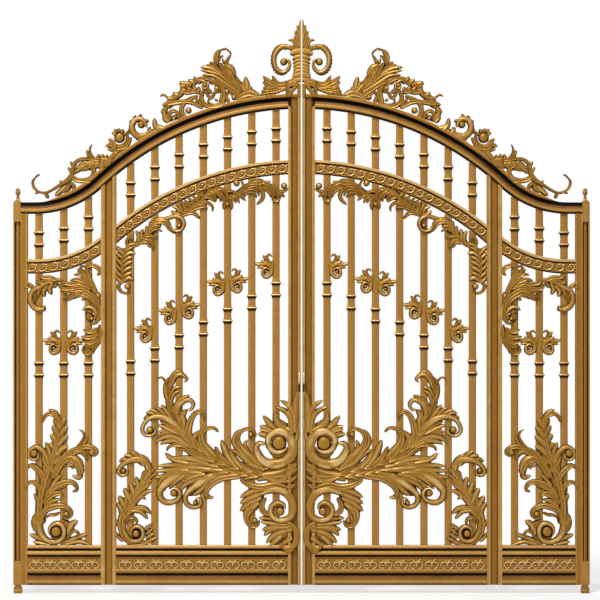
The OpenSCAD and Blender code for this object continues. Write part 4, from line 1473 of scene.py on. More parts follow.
@dataclass
class WideAcanthus(Casting):
    """Great spray beside the meeting stile and small one beside the mullion."""

    part: str = "wide_acanthus"
    origin: Point = (PLAN.meet_out, PLAN.kick_top)

    def draw(self, carving: Carving) -> None:
        """Lay the great spray, then the small one, which is drawn from the mullion.

        Args:
            carving: where to lay them.
        """
        super().draw(carving)
        small = np.array([PLAN.mull_in, PLAN.kick_top]), np.array([-1.0, 1.0])
        self.carve_small(Foliage(carving, lambda p: small[0] + p * small[1], crest=self.crest))

    def carve(self, f: Foliage) -> None:
        """Draw the great spray that grows across the wide bay.

        Args:
            f: the plan to draw on.
        """
        f.web((21, 42, 47, 57, 68, 68, 63, 52, 37, 16), -41, 413, 53, 371, 173, 382, 293, 413, 397, 444,
            481, 496, 543, 570, 590, 653, 622, 747, 627, 820)
        f.web((18, 19, 16), 92, 543, 68, 568, 32, 571, 0, 551, -10, 517)
        f.web((14, 21, 14), 100, 502, 74, 473, 42, 468, 11, 483, -5, 512)
        f.scroll((11, 22, 28, 34, 39, 41, 39, 30, 14), 6, 512, 19, 495, 55, 484, 90, 501, 105, 538,
            93, 574, 47, 594, -2, 573, -26, 523, -12, 460, 58, 421, 126, 436, 160, 483, 165, 515, 144, 534,
            119, 525, root=2)
        f.web((37, 42, 37, 21), -31, 590, 21, 617, 58, 648, 58, 684)
        f.web((37, 47, 26), 53, 596, 115, 637)
        f.stem((26, 47, 57, 47, 31, 21, 18, 16, 13, 10), 105, 402, 173, 429, 230, 481, 261, 538, 254, 583,
            220, 606, 186, 599, 171, 576, 186, 558, 204, 562)
        f.frond(57, 6, 94, 350, 272, 371, 355, 387, 429, 408, splay=26)
        f.frond(68, 9, 105, 366, 209, 387, 303, 413, 392, 449, 460, 502, 517, 570, 569, 653, 601, 731,
            splay=30)
        f.stem((16, 16, 16, 16, 10), 549, 611, 585, 674, 611, 737, 624, 794, 616, 851, 590, 891)
        f.stem((16, 8), 622, 789, 635, 841, 658, 875, 684, 867)
        f.scroll((26, 26, 18, 10), 585, 653, 575, 721, 543, 752, 512, 757, 494, 734, 507, 708, 528, 708)
        f.stem((37, 32, 25, 20, 10), 528, 564, 515, 632, 491, 682, 460, 697, 436, 677, 439, 656)
        f.stem((42, 47, 39, 29, 21, 16, 10), 376, 444, 423, 496, 452, 543, 447, 588, 418, 609, 387, 611,
            363, 590)
        f.stem((31, 26, 13), 303, 408, 355, 465, 382, 515)
        f.scroll((47, 37, 29, 18, 16, 10), 502, 517, 559, 601, 622, 653, 684, 671, 729, 658, 755, 627,
            760, 596, 739, 573, 710, 575, 692, 593, 700, 614)
        f.stem((26, 21, 10), 481, 476, 538, 517, 590, 523, 624, 512, 632, 491)
        f.web((47, 47, 37), 585, 371, 643, 329, 669, 282)
        f.scroll((42, 46, 40, 34, 26, 23, 20, 17, 13), 502, 387, 580, 361, 637, 324, 669, 282, 661, 241,
            627, 222, 585, 233, 563, 262, 575, 290, 598, 298)
        f.web((47, 57, 37), 429, 345, 491, 303, 522, 262)
        f.scroll((31, 42, 42, 37, 26, 22, 20, 18, 16, 10), 324, 371, 423, 345, 491, 303, 530, 267,
            536, 230, 512, 203, 475, 200, 455, 221, 462, 241, 486, 238)
        f.stem((26, 26, 29, 26, 16), 251, 361, 340, 350, 397, 322, 426, 282, 423, 238)
        f.web((18, 23, 16), 102, 173, 84, 131, 47, 110, 6, 118, -31, 152)
        f.web((16, 16), 68, 199, 47, 207, 21, 196)
        f.scroll((10, 20, 22, 24, 27, 32, 32, 28, 18), 14, 188, 24, 212, 51, 223, 81, 209, 92, 178,
            79, 147, 47, 129, 11, 133, -17, 155, -27, 194, -19, 235, 6, 269, 47, 288, 94, 286, 141, 269,
            root=2)
        f.stem((13, 26, 31, 31, 26), 251, 342, 199, 314, 136, 303, 74, 314, 11, 298)
        f.stem((16, 24, 25, 16), 84, 165, 115, 165, 136, 188, 134, 220, 115, 246)
        f.web((47, 78, 68, 37), 136, 272, 178, 235, 204, 194, 209, 157)
        f.stem((37, 34, 23, 21, 17, 10), 199, 194, 216, 157, 212, 121, 188, 99, 161, 105, 150, 131)
        f.web((52, 68, 52), -15, 100, 37, 63, 68, 27)
        f.stem((21, 25, 24, 16), 6, 121, -36, 87, -44, 37, -26, -5, 11, -18, 32, -2)
        f.stem((10, 16, 16), 21, -23, -5, -33, -31, -12)
        f.blades(34, (-5, 559, -31, 632, -36, 716, -47, 804), (272, 408, 314, 465, 350, 551))
        f.blades(31, (-15, 601, 37, 617, 63, 653, 63, 700), (580, 611, 554, 674, 528, 710),
            (241, 402, 282, 449, 303, 499), (418, 423, 502, 449, 575, 449, 637, 457),
            (418, 335, 455, 293, 496, 259), (63, 319, 16, 350, -44, 429), (94, 288, 173, 285, 251, 249),
            (126, 272, 188, 251, 252, 217), (141, 246, 199, 220, 252, 178), (152, 220, 199, 188, 235, 152),
            (-15, 100, 47, 95, 100, 76, 126, 48), (-20, 84, 42, 68, 84, 42, 115, 11),
            (37, 48, 68, 21, 94, -7))
        f.blades(29, (126, 392, 204, 434, 256, 476, 298, 502), (136, 408, 194, 460, 225, 512, 214, 551),
            (481, 502, 496, 554, 444, 603), (502, 507, 580, 559, 643, 564, 695, 536),
            (387, 434, 470, 460, 528, 496, 564, 502), (366, 408, 470, 426, 575, 418, 684, 413),
            (408, 397, 512, 405, 606, 392, 695, 387), (449, 376, 543, 384, 622, 363, 700, 353),
            (397, 366, 470, 345, 533, 319, 569, 280), (0, 92, 74, 95, 136, 79), (-20, 42, 47, -10))
        f.blades(26, (-36, 590, -31, 669, -5, 726, 42, 757), (-20, 601, -15, 658, 11, 697, 66, 724),
            (58, 596, 132, 676), (63, 585, 149, 624), (89, 559, 121, 575, 160, 580),
            (136, 366, 63, 356, 0, 371, -49, 402), (126, 356, 63, 335, 0, 335, -47, 361),
            (105, 345, 53, 319, 0, 303, -41, 319), (606, 737, 632, 778, 637, 831, 622, 878),
            (549, 590, 543, 648, 564, 700), (543, 570, 606, 617, 669, 648),
            (491, 507, 564, 580, 632, 590, 684, 567), (522, 512, 580, 541, 637, 541, 669, 525),
            (345, 392, 429, 392, 502, 371, 554, 340), (522, 392, 596, 387, 653, 350, 687, 298),
            (434, 371, 502, 356, 549, 327), (147, 246, 178, 209, 194, 157))
        f.blades(23, (58, 596, 89, 627, 126, 656), (136, 371, 74, 376, 11, 397, -44, 431),
            (622, 799, 611, 862, 580, 906, 538, 891), (601, 695, 569, 752, 512, 784),
            (596, 643, 632, 695, 663, 734), (622, 653, 663, 700, 690, 721), (648, 658, 690, 695, 721, 710),
            (674, 664, 716, 690, 744, 687), (533, 580, 606, 603, 679, 590), (522, 429, 590, 442, 643, 481),
            (543, 361, 590, 329, 622, 293), (21, 121, 94, 139, 154, 142), (11, 108, 84, 113, 144, 123))
        f.blades(21, (-10, 601, 37, 627, 58, 658, 76, 684), (79, 580, 115, 596, 149, 603),
            (251, 486, 282, 533, 272, 580, 235, 606), (616, 820, 590, 878, 559, 891, 528, 867, 543, 849),
            (507, 517, 515, 559, 502, 593), (705, 653, 731, 669, 755, 658), (575, 580, 632, 609, 684, 630))
        f.blades(18, (-26, 517, -47, 570, -47, 632), (616, 778, 596, 817, 559, 828),
            (611, 747, 596, 789, 564, 807))
        f.blades(16, (429, 272, 413, 251, 387, 249))
        f.balls(39, 47, 531)
        f.balls(23, 41, 176)
        f.balls(20, 721, 601, 596, 273)
        f.balls(16, 194, 578)
        f.balls(15, 174, 129)
        f.balls(14, 483, 221)

    def carve_small(self, f: Foliage) -> None:
        """Draw the small spray.

        Args:
            f: the plan to draw on.
        """
        f.web((31, 42, 47, 47, 37), 30, 89, 40, 162, 140, 314, 161, 392)
        f.stem((16, 21, 26, 30, 33, 31), 187, 19, 134, 11, 82, 14, 43, 45, 26, 100, 33, 152, 56, 199)
        f.scroll((14, 20, 21, 19, 18, 17, 15, 7), 67, 142, 45, 123, 39, 84, 54, 48, 77, 25, 108, 21,
            134, 37, 141, 67, 130, 90, 107, 99, 85, 88, 77, 63, 85, 42)
        f.web((10, 10), 82, 79, 103, 85, 124, 71, 121, 48, 101, 37, 82, 48)
        f.stem((14, 17, 15, 8), 46, 115, 59, 137, 80, 145, 101, 136, 108, 118, 99, 105)
        f.frond(63, 7, 35, 131, 61, 204, 145, 329, 171, 392, splay=28)
        f.scroll((26, 29, 27, 21, 17, 10), 166, 371, 166, 413, 140, 439, 103, 447, 61, 439, 27, 414,
            13, 387, 27, 366, 54, 372, 60, 395)
        f.web((21, 31, 31), 155, 100, 171, 63, 176, 21)
        f.blades(29, (166, 392, 155, 439, 119, 473), (145, 418, 108, 465, 72, 494),
            (61, 168, 108, 241, 155, 277, 192, 285), (40, 136, 87, 186, 145, 191, 184, 162),
            (40, 142, 25, 194, 1, 222), (56, 188, 12, 259), (77, 225, 56, 272, 38, 298),
            (98, 256, 82, 303, 69, 327))
        f.blades(26, (77, 220, 124, 282, 181, 319), (93, 251, 140, 314, 181, 345))
        f.blades(23, (108, 439, 72, 465, 40, 468), (171, 361, 176, 408, 166, 439),
            (119, 288, 111, 329, 101, 358))
        f.blades(21, (82, 436, 46, 449, 14, 436), (51, 173, 87, 220, 129, 251, 155, 238),
            (82, 181, 129, 175, 166, 136))
        f.blades(19, (155, 14, 212, 42))
        f.blades(17, (155, 34, 176, 50, 202, 63))
        f.blades(16, (150, 81, 189, 113), (155, 58, 194, 89), (40, 21, 14, 42, -4, 68),
            (30, 79, 9, 110, -4, 136))
        f.balls(22, 103, 61)
        f.balls(16, 38, 388)


@dataclass
class SideAcanthus(Casting):
    """Tall spray at the foot of the narrow bay."""

    part: str = "side_acanthus"
    origin: Point = (PLAN.mull_out, PLAN.kick_top)

    def carve(self, f: Foliage) -> None:
        """Draw its stems, leaves and scrolls.

        Args:
            f: the plan to draw on.
        """
        f.web((42, 47, 52, 57, 47, 26), 314, 105, 314, 204, 293, 309, 256, 413, 230, 523, 220, 611)
        f.scroll((30, 30, 28, 22, 20, 21, 18, 8), 316, 204, 322, 147, 322, 95, 306, 50, 275, 22, 235, 17,
            203, 34, 191, 68, 202, 102, 230, 115, 260, 101, 270, 76, 263, 50)
        f.web((11, 13, 11, 13, 10), 262, 84, 238, 101, 213, 90, 204, 68, 213, 42, 238, 33, 262, 48)
        f.web((26, 42, 26), 215, 131, 168, 95, 152, 58)
        f.stem((26, 30, 21, 10), 314, 136, 290, 181, 246, 202, 199, 204, 162, 181, 158, 155, 181, 140,
            200, 152)
        f.stem((10, 15, 14), 290, 142, 269, 157, 241, 159, 215, 170)
        f.stem((31, 31, 31, 30, 23, 16), 314, 110, 320, 194, 311, 267, 293, 340, 267, 413, 241, 486,
            225, 549, 217, 601)
        f.frond(63, 6, 309, 131, 314, 235, 293, 340, 262, 434, splay=28)
        f.frond(94, 6, 251, 371, 230, 481, 220, 564, 217, 632, 230, 669)
        f.stem((23, 25, 22, 18, 10), 217, 590, 220, 648, 243, 679, 275, 685, 296, 669, 306, 640)
        f.scroll((31, 19, 10), 262, 392, 280, 455, 306, 496, 340, 513, 367, 498, 376, 469, 356, 447,
            329, 456, 325, 481)
        f.stem((31, 30, 22, 13), 288, 329, 311, 374, 340, 402, 369, 416, 388, 397)
        f.stem((26, 25, 18, 10), 303, 267, 327, 309, 358, 329, 385, 319, 391, 295)
        f.stem((26, 28, 25, 22, 10), 256, 350, 215, 429, 168, 481, 121, 500, 84, 483, 68, 449)
        f.stem((16, 22, 26, 22, 16), 152, 481, 110, 505, 68, 514, 33, 500, 25, 481, 45, 464)
        f.stem((21, 6), 142, 486, 105, 533, 89, 567, 97, 593, 115, 602)
        f.stem((26, 31, 34, 37, 37, 21), 246, 350, 209, 423, 168, 451, 131, 436, 109, 402, 100, 369)
        f.stem((31, 33, 29, 24, 18, 10), 288, 246, 251, 295, 204, 324, 162, 330, 134, 315, 126, 288,
            149, 280)
        f.stem((26, 29, 29, 23, 10), 298, 215, 272, 249, 241, 267, 215, 269, 194, 256)
        f.stem((16, 10), 173, 32, 160, 61, 136, 74, 118, 58, 128, 32, 157, 24)
        f.web((31, 42, 31), 329, 168, 340, 121, 329, 68)
        f.blades(31, (173, 68, 152, 108, 121, 128))
        f.blades(26, (303, 173, 267, 220, 215, 241), (251, 423, 269, 486, 290, 538),
            (162, 434, 121, 418, 110, 356, 152, 363), (272, 272, 225, 301, 173, 314), (314, 79, 356, 144))
        f.blades(23, (272, 423, 293, 481, 314, 517), (262, 382, 293, 434, 309, 486),
            (293, 350, 329, 402, 371, 426), (162, 465, 115, 489, 89, 476, 71, 444),
            (256, 309, 225, 350, 199, 371), (282, 21, 374, 58), (183, 16, 68, 61))
        f.blades(21, (110, 496, 87, 533, 68, 570), (204, 423, 162, 470, 110, 507, 58, 518),
            (293, 204, 256, 233, 215, 235), (183, 6, 115, 19, 53, 3))
        f.blades(18, (225, 653, 246, 695, 275, 708), (215, 632, 230, 684, 251, 708),
            (173, 413, 142, 421, 152, 395), (282, 6, 356, 19))
        f.blades(16, (204, 439, 162, 465, 115, 449, 89, 408))
        f.balls(31, 235, 72)
        f.balls(26, 350, 479)
        f.balls(18, 48, 483)
        f.balls(17, 180, 163)


@dataclass
class SideSpray(Casting):
    """Leafy scrollwork under the narrow bay's band."""

    part: str = "side_spray"
    origin: Point = (PLAN.mull_out, PLAN.side_band_z)

    def carve(self, f: Foliage) -> None:
        """Draw its stems, leaves and scrolls.

        Args:
            f: the plan to draw on.
        """
        f.web((21, 31, 42, 37, 21), 21, -153, 42, -111, 79, -85, 173, -70)
        f.stem((11, 23, 26, 22, 10), 58, -259, 32, -258, 11, -229, 8, -195, 18, -156, 42, -122, 76, -97,
            115, -85, 199, -100)
        f.stem((14, 19, 21, 20, 10), 24, -221, 21, -187, 37, -151, 66, -122, 100, -110, 131, -126)
        f.web((21, 37, 21), 68, -200, 48, -252)
        f.scroll((11, 14, 17, 16, 10), 50, -233, 37, -238, 27, -221, 27, -198, 48, -178, 74, -175,
            96, -191)
        f.stem((14, 14, 8), 37, -203, 66, -194, 83, -208)
        f.stem((23, 24, 23, 19, 8), 58, -91, 100, -73, 188, -82, 212, -72, 222, -51)
        f.stem((19, 24, 23, 10), 79, -96, 121, -105, 157, -124, 182, -144)
        f.stem((15, 16, 15, 8), 100, -96, 142, -104, 199, -132)
        f.stem((21, 24, 23, 21, 10), 58, -78, 105, -52, 147, -56, 186, -52, 209, -33)
        f.stem((21, 23, 20, 9), 48, -80, 87, -45, 126, -31, 162, -37)
        f.stem((21, 24, 22, 9), 42, -75, 71, -36, 105, -5, 142, -7)
        f.stem((23, 24, 22), 11, -158, 27, -106, 68, -12, 76, 27)
        f.stem((14, 12, 11, 16), 79, 9, 97, 10, 109, 24, 101, 38, 84, 37)
        f.stem((16, 18, 20, 19, 10), 84, 27, 66, 37, 42, 42, 16, 30, 4, 9, 21, -10)
        f.stem((16, 16, 10), 21, -148, 23, -119, 8, -97)
        f.web((16, 31, 21), 225, -38, 277, -49, 329, -80)
        f.scroll((16, 18, 18, 19, 20, 22, 24, 22, 7), 204, -36, 241, -35, 282, -50, 319, -71, 356, -91,
            368, -127, 358, -164, 332, -185, 303, -185, 295, -165)
        f.stem((16, 18, 17, 9), 329, -70, 345, -96, 344, -127, 350, -160)
        f.stem((18, 22, 20, 9), 230, -36, 267, -22, 303, -21, 329, -7)
        f.stem((19, 24, 21, 9), 246, -44, 282, -41, 314, -47, 337, -36)
        f.stem((16, 13, 7), 340, -80, 369, -69, 389, -71, 397, -82)
        f.web((16, 37, 21), 11, -278, 21, -336, 53, -383)
        f.stem((10, 19, 20, 18, 13), 11, -265, 1, -299, 8, -346, 45, -406)
        f.stem((20, 23, 21, 9), 14, -284, 40, -302, 68, -304, 93, -290)
        f.stem((21, 26, 24, 10), 8, -305, 40, -330, 71, -335, 103, -327)
        f.stem((20, 25, 22, 9), 11, -333, 40, -358, 68, -362, 92, -353)
        f.stem((15, 14, 8), 21, -362, 50, -381, 76, -374, 97, -382)
        f.stem((18, 19, 16, 9), 32, -380, 50, -411, 76, -418, 95, -399, 87, -382)
        f.blades(28, (48, -64, 79, -7, 126, 26))
        f.blades(24, (277, -62, 300, -91, 294, -123))
        f.blades(23, (251, -51, 269, -78, 257, -111))
        f.blades(22, (309, -75, 327, -96, 329, -126))
        f.blades(18, (79, -104, 121, -114, 156, -134), (58, -117, 79, -122, 102, -141),
            (32, -101, 53, -33))
        f.blades(16, (68, -38, 63, -17, 46, -1), (230, -44, 237, -59, 248, -76))
        f.blades(15, (58, -396, 76, -409, 87, -426))
        f.blades(14, (350, -75, 376, -54, 396, -47))
        f.balls(15, 15, -115, 302, -183)
        f.balls(11, 48, -235)


@dataclass
class Garland(Casting):
    """Swags of leaves and small scrolls under the wide band."""

    part: str = "garland"

    def place(self, p: Array) -> Array:
        """Plan measured outwards from the meeting line and down from the band's lower edge."""
        return np.array([(u, PLAN.wide_band.top(u) - drop) for u, drop in p])

    def carve(self, f: Foliage) -> None:
        """Draw its stems, leaves and scrolls.

        Args:
            f: the plan to draw on.
        """
        f.web((37, 47, 37), 932, 53, 932, 199)
        f.stem((15, 17), 921, 66, 934, 103, 935, 165, 927, 229)
        f.stem((18, 16, 14, 9), 911, 236, 941, 221, 955, 232, 945, 266, 916, 302, 892, 303)
        f.stem((15, 15, 10), 908, 66, 912, 35, 900, 23, 882, 41, 880, 65)
        f.web((21, 31, 31, 21), 869, 86, 812, 79, 733, 59)
        f.stem((19, 20, 19, 21, 16, 8), 880, 88, 814, 93, 783, 130, 770, 163, 780, 174)
        f.stem((18, 18, 8), 859, 83, 827, 76, 796, 87, 765, 114, 746, 121)
        f.stem((18, 16, 8), 822, 77, 765, 72, 727, 108)
        f.stem((20, 21, 19, 17, 9), 801, 59, 770, 41, 733, 54, 705, 83, 687, 118, 658, 156)
        f.scroll((16, 17, 10), 749, 45, 681, 58, 652, 69, 626, 92, 613, 124, 624, 149, 650, 147, 676, 124,
            687, 95)
        f.web((16, 31, 37, 31), 671, 57, 634, 54, 551, 34)
        f.stem((18, 20, 20, 11), 645, 78, 598, 78, 561, 93, 532, 134)
        f.stem((18, 19, 20, 18, 8), 619, 67, 535, 73, 501, 84, 494, 104)
        f.stem((17, 18, 18, 11), 587, 57, 545, 54, 514, 60, 492, 75)
        f.stem((16, 16, 15, 8), 556, 47, 514, 49, 483, 71, 464, 97, 466, 120)
        f.stem((15, 18, 16, 8), 582, 73, 609, 45, 598, 27, 613, -2)
        f.stem((15, 18, 16, 8), 564, 73, 588, 41, 575, 25, 595, -3)
        f.stem((15, 18, 16, 8), 543, 71, 567, 36, 552, 23, 573, -5)
        f.stem((15, 18, 16, 8), 522, 66, 544, 30, 530, 16, 551, -8)
        f.web((26, 42, 42, 26), 530, 37, 478, 27, 425, 41, 389, 78)
        f.stem((17, 18, 18, 10), 535, 48, 504, 33, 478, 43, 448, 76)
        f.stem((16, 18, 17, 10), 519, 33, 483, 20, 455, 42, 445, 72)
        f.stem((16, 18, 18, 11), 504, 20, 462, 18, 431, 45, 420, 85)
        f.stem((17, 19, 16), 493, 6, 441, 19, 411, 56, 399, 101)
        f.stem((17, 18, 16), 462, 7, 420, 16, 393, 48, 384, 90)
        f.stem((16, 19, 10), 389, 78, 402, 100, 408, 127)
        f.stem((16, 18, 10), 384, 79, 366, 107, 365, 142)
        f.web((21, 31, 37, 37), 384, 69, 331, 66, 284, 45, 238, 33)
        f.stem((21, 17, 7), 389, 73, 347, 69, 318, 59, 304, 36, 311, 7, 328, -8)
        f.stem((13, 15, 13), 405, 40, 373, 40, 337, 61)
        f.stem((16, 16, 9), 378, 78, 355, 86, 340, 112)
        f.stem((15, 17, 9), 368, 70, 339, 83, 324, 117)
        f.stem((16, 18, 10), 342, 69, 316, 82, 292, 110)
        f.stem((14, 15, 9), 311, 87, 279, 71, 251, 76, 232, 106)
        f.stem((16, 17, 16, 10), 326, 73, 290, 56, 258, 54, 229, 76, 222, 100)
        f.stem((16, 18, 17, 10), 316, 59, 279, 42, 243, 42, 217, 59)
        f.stem((16, 18, 18, 11), 305, 43, 269, 29, 232, 31, 206, 47)
        f.stem((16, 18, 18, 10), 290, 33, 253, 18, 217, 17, 191, 29)
        f.stem((19, 21, 18, 9), 222, 56, 202, 85, 206, 116, 235, 142)
        f.web((21, 26, 31, 21), 232, 34, 185, 56, 154, 86, 133, 119)
        f.stem((16, 19, 16), 238, 41, 206, 32, 175, 45, 151, 70, 140, 113)
        f.stem((14, 16, 18, 18, 9), 243, 61, 217, 53, 191, 64, 167, 87, 158, 116)
        f.stem((13, 15, 14), 211, 47, 180, 57, 157, 85, 146, 120)
        f.stem((14, 18, 16), 164, 43, 138, 64, 125, 94, 125, 122)
        f.stem((13, 16, 10), 128, 70, 112, 97, 114, 126)
        f.stem((17, 20, 17), 156, 120, 133, 133, 111, 123)
        f.stem((16, 15, 9), 133, 106, 115, 87, 91, 87, 69, 73)
        f.blades(23, (749, 41, 710, 62, 681, 109))
        f.blades(22, (932, 230, 903, 232, 874, 263), (796, 81, 786, 49, 789, 12))
        f.blades(20, (927, 93, 969, 9), (934, 137, 955, 101, 969, 68), (937, 166, 958, 130, 970, 95),
            (937, 197, 958, 161, 970, 127), (932, 230, 953, 200, 970, 161), (932, 81, 906, 81, 872, 92),
            (932, 105, 900, 105, 866, 132), (932, 128, 908, 127, 881, 139), (934, 152, 911, 151, 883, 161),
            (934, 178, 911, 179, 883, 190), (934, 204, 911, 207, 886, 216), (859, 93, 848, 59, 864, 13),
            (833, 85, 835, 50, 828, 29), (814, 85, 806, 51, 812, 24), (780, 47, 749, 34, 713, 47))
        f.blades(19, (937, 100, 971, 42), (514, 58, 512, 30, 533, -4))
        f.blades(18, (916, 68, 893, 66, 856, 90), (629, 72, 658, 53, 681, 23), (619, 72, 630, 35, 643, 4),
            (606, 75, 613, 35, 624, 2), (222, 40, 162, 30))
        f.blades(17, (796, 63, 765, 56, 731, 83), (634, 62, 647, 30, 676, 3))
        f.blades(16, (838, 100, 806, 117, 788, 159))
        f.blades(14, (120, 99, 104, 102, 87, 119))
        f.balls(17, 907, 273, 339, 8, 91, 60)
        f.balls(14, 638, 124, 386, 106)


@dataclass
class CrestScrolls(Casting):
    """Scrolls and tendril that run down the head rail."""

    part: str = "crest_scrolls"

    def place(self, p: Array) -> Array:
        """Plan measured outwards from the meeting line and up from the head rail's top."""
        return np.array([(u, PLAN.head(u, PLAN.head_w + PLAN.strip) + up) for u, up in p])

    def carve(self, f: Foliage) -> None:
        """Draw its stems, leaves and scrolls.

        Args:
            f: the plan to draw on.
        """
        f.scroll((16, 25, 26, 24, 22, 19, 13), 780, 9, 809, 4, 844, 16, 874, 54, 885, 96, 872, 117,
            846, 110, 822, 83, 809, 46)
        f.web((31, 37), 812, 6, 859, 3)
        f.web((26, 26, 16), 801, 0, 723, -3)
        f.stem((13, 16, 13), 984, 92, 976, 65, 950, 38, 921, 30, 909, 50, 914, 79)
        f.stem((21, 29, 30, 24, 16), 989, 93, 981, 62, 953, 29, 919, 15, 900, 31, 887, 40)
        f.stem((21, 18), 947, 27, 966, 23, 984, 13, 1005, 9)
        f.stem((16, 13), 958, 25, 942, -8, 950, -23)
        f.stem((14, 16), 916, 73, 898, 81, 887, 95)
        f.stem((26, 25, 17, 13, 15, 18, 21), 1000, -6, 1104, 99, 1146, 133, 1180, 135, 1193, 108, 1201, 75,
            1214, 55)
        f.frond(52, 6, 1005, -12, 1062, 37, 1114, 81, 1161, 85, splay=26)
        f.stem((21, 22, 21, 13), 1201, 75, 1172, 39, 1130, 9, 1095, -4, 1083, 17, 1097, 53, 1122, 78)
        f.frond(47, 4, 994, -20, 1078, 80)
        f.stem((21, 13, 6), 1083, 77, 1101, 125, 1104, 156, 1094, 167)
        f.stem((23, 20, 13, 11, 11, 12, 11, 8), 1193, 82, 1219, 63, 1261, 52, 1302, 37, 1339, 28, 1375, 39,
            1397, 62, 1403, 91, 1391, 109)
        f.stem((7, 7), 1393, 107, 1381, 120, 1366, 127)
        f.web((26, 31, 21), 1203, 51, 1224, 23, 1255, 17)
        f.stem((21, 21, 16), 1135, 13, 1099, -24)
        f.stem((16, 16), 1208, 48, 1188, 17, 1193, -2)
        f.stem((16, 14), 1334, 24, 1323, -3)
        f.blades(23, (739, -8, 762, 25, 768, 70), (953, 34, 989, 72, 1023, 95),
            (1094, 76, 1146, 104, 1177, 84), (1083, 56, 1120, 72, 1148, 69), (1229, 36, 1287, 2))
        f.blades(21, (718, -11, 749, 13, 765, 42), (1062, 52, 1114, 91, 1156, 95),
            (989, -3, 1015, -3, 1036, -7))
        f.blades(18, (780, -2, 796, 26, 786, 33), (942, 16, 984, 46, 1013, 70),
            (974, 73, 994, 100, 1005, 121))
        f.blades(16, (953, 112, 955, 126, 962, 137), (940, 100, 934, 108, 934, 117))
        f.blades(14, (880, 90, 890, 115, 893, 135), (864, 111, 872, 132, 864, 140),
            (843, 106, 843, 121, 835, 130), (817, 79, 806, 76, 800, 64), (971, 113, 981, 129, 990, 133),
            (966, 119, 971, 136, 979, 148), (929, 82, 916, 81, 911, 85), (1104, 106, 1114, 136, 1120, 161),
            (1193, 82, 1219, 131), (1188, 111, 1206, 154))
        f.blades(10, (1261, 50, 1255, 64, 1263, 77))
        f.blades(9, (1365, 40, 1381, 31, 1391, 28))
        f.balls(28, 950, 83)
        f.balls(20, 836, 75)


@dataclass
class CrestSpray(CrestScrolls):
    """Tall leafy spray on the crown of the head rail."""

    part: str = "crest_spray"

    def carve(self, f: Foliage) -> None:
        """Draw its stems, leaves and scrolls.

        Args:
            f: the plan to draw on.
        """
        f.web((31, 52, 68, 68, 42), 258, 9, 321, 52, 425, 171, 478, 197)
        f.stem((21, 24, 24, 13), 441, 212, 446, 250, 437, 274, 419, 286)
        f.stem((9, 8, 10), 423, 284, 399, 285, 382, 272, 366, 251)
        f.stem((8, 13, 21), 368, 250, 398, 206)
        f.stem((13, 7), 431, 230, 425, 248, 408, 252)
        f.stem((14, 5), 402, 207, 411, 227, 410, 241)
        f.stem((26, 14), 305, 7, 397, 90, 446, 131)
        f.stem((23, 18, 17, 17, 13), 316, 41, 363, 90, 459, 218, 479, 238)
        f.stem((21, 18, 19), 331, 70, 373, 119, 402, 165, 428, 219)
        f.stem((23, 21, 29, 24), 321, 57, 350, 100, 378, 154, 396, 205)
        f.stem((26, 34, 31, 21), 217, -2, 264, 21, 305, 18, 342, 4)
        f.stem((16, 13, 16, 21), 378, 55, 331, 13, 316, -6)
        f.stem((16, 23, 25, 31), 452, 138, 428, 115, 412, 81, 408, 46, 418, 2)
        f.stem((13, 18, 18, 13), 556, 166, 530, 168, 493, 155, 459, 129, 437, 96, 429, 62)
        f.scroll((8, 13, 10), 566, 157, 540, 161, 512, 149, 491, 125, 492, 108, 509, 109, 520, 128)
        f.stem((10, 21), 373, 64, 394, 38, 378, -3)
        f.stem((18, 21, 21, 26), 512, 96, 523, 71, 512, 36, 480, 6, 441, -3, 405, -1)
        f.stem((13, 15, 13), 520, 70, 515, 93, 503, 95, 478, 51, 462, 56, 453, 71, 425, 72)
        f.stem((14, 19, 16), 501, 100, 483, 91, 470, 72)
        f.stem((10, 8), 480, 49, 487, 34, 472, 16, 457, 14)
        f.stem((13, 8), 436, 23, 454, 37)
        f.stem((9, 9), 483, 136, 465, 118)
        f.frond(47, 5, 514, 157, 556, 164, 634, 161)
        f.frond(42, 4, 525, 103, 566, 126, 639, 145)
        f.stem((16, 17, 16), 629, 138, 592, 118, 561, 113, 530, 92)
        f.web((21, 31, 26), 613, 131, 666, 118, 697, 85)
        f.frond(47, 5, 613, 131, 666, 128, 702, 104, 718, 64)
        f.stem((21, 20, 17), 702, 106, 592, 71, 514, 11)
        f.stem((14, 21, 23), 540, 82, 582, 82, 616, 72, 626, 38, 608, -12)
        f.stem((19, 16, 18), 689, 9, 693, 49, 671, 58, 645, 33, 634, -6)
        f.stem((7, 8, 11, 7), 681, 114, 718, 164, 738, 166)
        f.web((21, 21), 707, 23, 655, 19, 603, -9)
        f.blades(26, (394, 199, 365, 172, 345, 128), (227, 10, 321, 63))
        f.blades(25, (282, 29, 284, 71, 295, 117))
        f.blades(24, (284, 29, 325, 83))
        f.blades(23, (277, 28, 269, 45, 267, 63), (692, 15, 713, 57, 726, 97))
        f.blades(22, (415, 153, 462, 194, 499, 216, 528, 228))
        f.blades(21, (342, 54, 405, 111, 462, 161, 519, 183), (384, 160, 360, 131, 344, 91),
            (290, 41, 309, 95), (697, 12, 713, 36, 720, 63))
        f.blades(19, (363, 85, 420, 149, 472, 183, 526, 211), (420, 162, 459, 204, 495, 232),
            (232, 0, 245, 23, 262, 42))
        f.blades(18, (603, 166, 624, 183, 639, 182))
        f.blades(16, (551, 70, 509, 14))
        f.balls(17, 590, 25)
        f.balls(16, 506, 125)
        f.balls(15, 352, 20)
        f.balls(14, 442, 89)
        f.balls(9, 666, 14)


